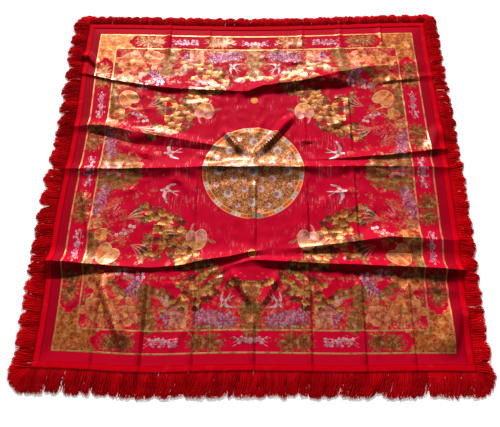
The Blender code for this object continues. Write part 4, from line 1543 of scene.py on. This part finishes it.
coin_x, coin_y = a, b - COIN_PLACE
coin = (coin_x * coin_x + coin_y * coin_y) ** 0.5
coin_mask = step(coin, COIN_RADIUS, COIN_RADIUS - 0.0012)
coin_colour = mix(step((coin - COIN_RING).absolute(), 0.0012, 0.0006) * 0.7, GOLD, BROWN)
colour = mix(coin_mask, colour, coin_colour)
metal = metal.most(coin_mask)
print("medallion drawn, nodes:", len(brocade.tree.nodes))

# %% [markdown]
# The floats lie a hair above the ground, and the weave itself is a fine grain across the
# loom, so both go into one bump. Gold thread is metal foil wound on silk, so it is metallic,
# and all the floats have a gloss of their own: a coat that only they carry.

# %% Surface of the brocade
FLOAT_RISE = 0.0006

grain = noise(point(flat_u * 420.0, flat_v * 260.0), 1.0, detail=2.0)
relief = thread * 0.6 + grain * 0.35
surface_normal = brocade.bump(relief, FLOAT_RISE, 0.55)
roughness = 0.52 - thread * 0.03 - metal * 0.03 + (grain - 0.5) * 0.12
thread_tone = noise(point(flat_u * 300.0, flat_v * 1100.0), 1.0, detail=1.0)
dapple = noise(quarter, 78.0, detail=3.0, rough=0.65)
silk = thread * step(from_middle, RIM_OUTER, RIM_OUTER + 0.001)
colour = mix(silk * step(dapple, 0.49, 0.35) * 0.52, colour, DAPPLE_DARK)
colour = mix(silk * step(dapple, 0.57, 0.71) * 0.42, colour, CREAM)
colour = mix(thread * step(thread_tone, 0.45, 0.75) * 0.25, colour, CRIMSON_DEEP)
brocade.finish(
    cloth, Base_Color=colour, Roughness=roughness, Metallic=thread * 0.30 + metal * 0.20,
    Coat_Weight=thread * 0.36, Normal=surface_normal,
)
print("brocade nodes:", len(brocade.tree.nodes))

# %% [markdown]
# ### Tape and yarn
# The tape is a soft satin braid, rounded across its width and lightly ribbed. The yarn is
# soft and dull, and its plies wind round it. Its colour carries painted shade towards its
# roots, where the loops cover each other, most along the near hem, painted shade where a
# loop lies low, and painted light towards its tips, and each side is painted in reds of its
# own for how brightly it is lit.

# %% Braid of the tape
RIB_STEP = 0.0032
TAPE_RED = paint(226, 2, 26)
TAPE_DARK = paint(186, 0, 16)
TAPE_EDGE = paint(150, 0, 12)
TAPE_WORN = paint(240, 40, 50)

for side, tape in tapes.items():
    braid = Finish("braid_" + side, roughness=0.7, sheen=0.0, specular=0.01)
    tape_u, tape_v, _ = braid.parts(braid.node("ShaderNodeUVMap", {"uv_map": "flat"}))
    length = tape_u if side in ("near", "far") else tape_v
    width = tape_v if side in ("near", "far") else tape_u
    from_edge = (width.absolute() - TAPE_INNER) / TAPE_WIDTH
    rib = (length * (FULL_TURN / RIB_STEP) + (from_edge * 12.0).sine()).sine()
    edge = braid.step((from_edge - 0.5).absolute(), 0.30, 0.48)
    wear = braid.noise(braid.point(tape_u * 40.0, tape_v * 40.0), 1.0, detail=3.0)
    tape_colour = braid.mix(rib * 0.15 + 0.25, TAPE_RED, TAPE_DARK)
    tape_colour = braid.mix(edge * 0.7, tape_colour, TAPE_EDGE)
    tape_colour = braid.mix(braid.step(wear, 0.55, 0.8) * 0.25, tape_colour, TAPE_WORN)
    round_top = 1.0 - (from_edge - 0.5) * (from_edge - 0.5) * 4.0
    braid.finish(
        tape, Base_Color=tape_colour, Roughness=0.62 + rib * 0.05,
        Normal=braid.bump(round_top * 0.5 + rib * 0.10, 0.0008, 0.6),
    )
print("braid nodes:", len(braid.tree.nodes))

# %% Yarn of the fringe
# Painted light: each side's yarn gets its own pair of reds, darker on the near and left sides
# and brighter on the right and far ones, for how brightly each side is lit.
YARN_REDS_LIT_PER_SIDE = {
    "near": (paint(148, 0, 8), paint(200, 2, 16)),
    "right": (paint(182, 0, 8), paint(236, 2, 20)),
    "far": (paint(180, 0, 12), paint(232, 2, 26)),
    "left": (paint(158, 0, 6), paint(214, 2, 14)),
}
ROOT_SHADE = {"near": 0.80, "right": 0.30, "far": 0.10, "left": 0.35}
YARN_TIP_PAINTED_LIGHT = paint(240, 14, 24)
YARN_PLY_AND_PAINTED_SHADE = paint(130, 0, 8)
YARN_ROOT_PAINTED_SHADE = paint(60, 0, 4)

for name, fringe in fringes.items():
    yarn = Finish("yarn_" + name, roughness=0.8, sheen=0.0, specular=0.03)
    share, tone, height = yarn.parts(yarn.attribute("yarn"))
    ply = (share * 190.0 + tone * 40.0).sine()
    yarn_colour = yarn.mix(yarn.step(tone, 0.15, 0.85), *YARN_REDS_LIT_PER_SIDE[name])
    # Painted light: the yarn is coloured brighter towards its tips.
    yarn_colour = yarn.mix(yarn.step(share, 0.50, 1.0) * 0.60, yarn_colour, YARN_TIP_PAINTED_LIGHT)
    # Painted shade: where a loop lies low in the pile its colour is darkened. The same dark red
    # also draws the ply stripes.
    yarn_colour = yarn.mix(yarn.step(height, 0.35, 0.1) * 0.20, yarn_colour, YARN_PLY_AND_PAINTED_SHADE)
    # Painted shade and shadow: the yarn is darkened towards its roots, where the loops cover
    # each other, and most along the near hem, as the shadow under the tape.
    root = yarn.step(share, 0.14, 0.02) * ROOT_SHADE[name]
    yarn_colour = yarn.mix(root, yarn_colour, YARN_ROOT_PAINTED_SHADE)
    yarn_colour = yarn.mix(yarn.step(ply, 0.2, 0.9) * 0.15, yarn_colour, YARN_PLY_AND_PAINTED_SHADE)
    yarn.finish(
        fringe, Base_Color=yarn_colour, Roughness=0.74 + ply * 0.05,
        Normal=yarn.bump(ply, 0.0005, 0.35),
    )
print("yarn nodes:", len(yarn.tree.nodes))

# %% Floor
ground = Finish("pale_floor", roughness=0.9, specular=0.0)
ground.shader.inputs["Emission Color"].default_value = (1.0, 1.0, 0.99, 1.0)
ground.shader.inputs["Emission Strength"].default_value = 0.45
ground.finish(floor, Base_Color=paint(250, 250, 248))
print("floor painted")

# %% [markdown]
# Each piece rides on the one body and stands for its solid, which is hidden.
# The square lies on the floor, with its tape and fringe.

# %% Attach the pieces
pieces = [(cloth, "satin", "cloth")]
pieces += [(tape, "braid", "tape_" + side) for side, tape in tapes.items()]
pieces += [(fringe, "yarn", "fringe_" + name) for name, fringe in fringes.items()]
for piece, slot, node in pieces:
    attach(piece, "root")
    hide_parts(node)
print("declared:", [piece.name for piece, _, _ in pieces])
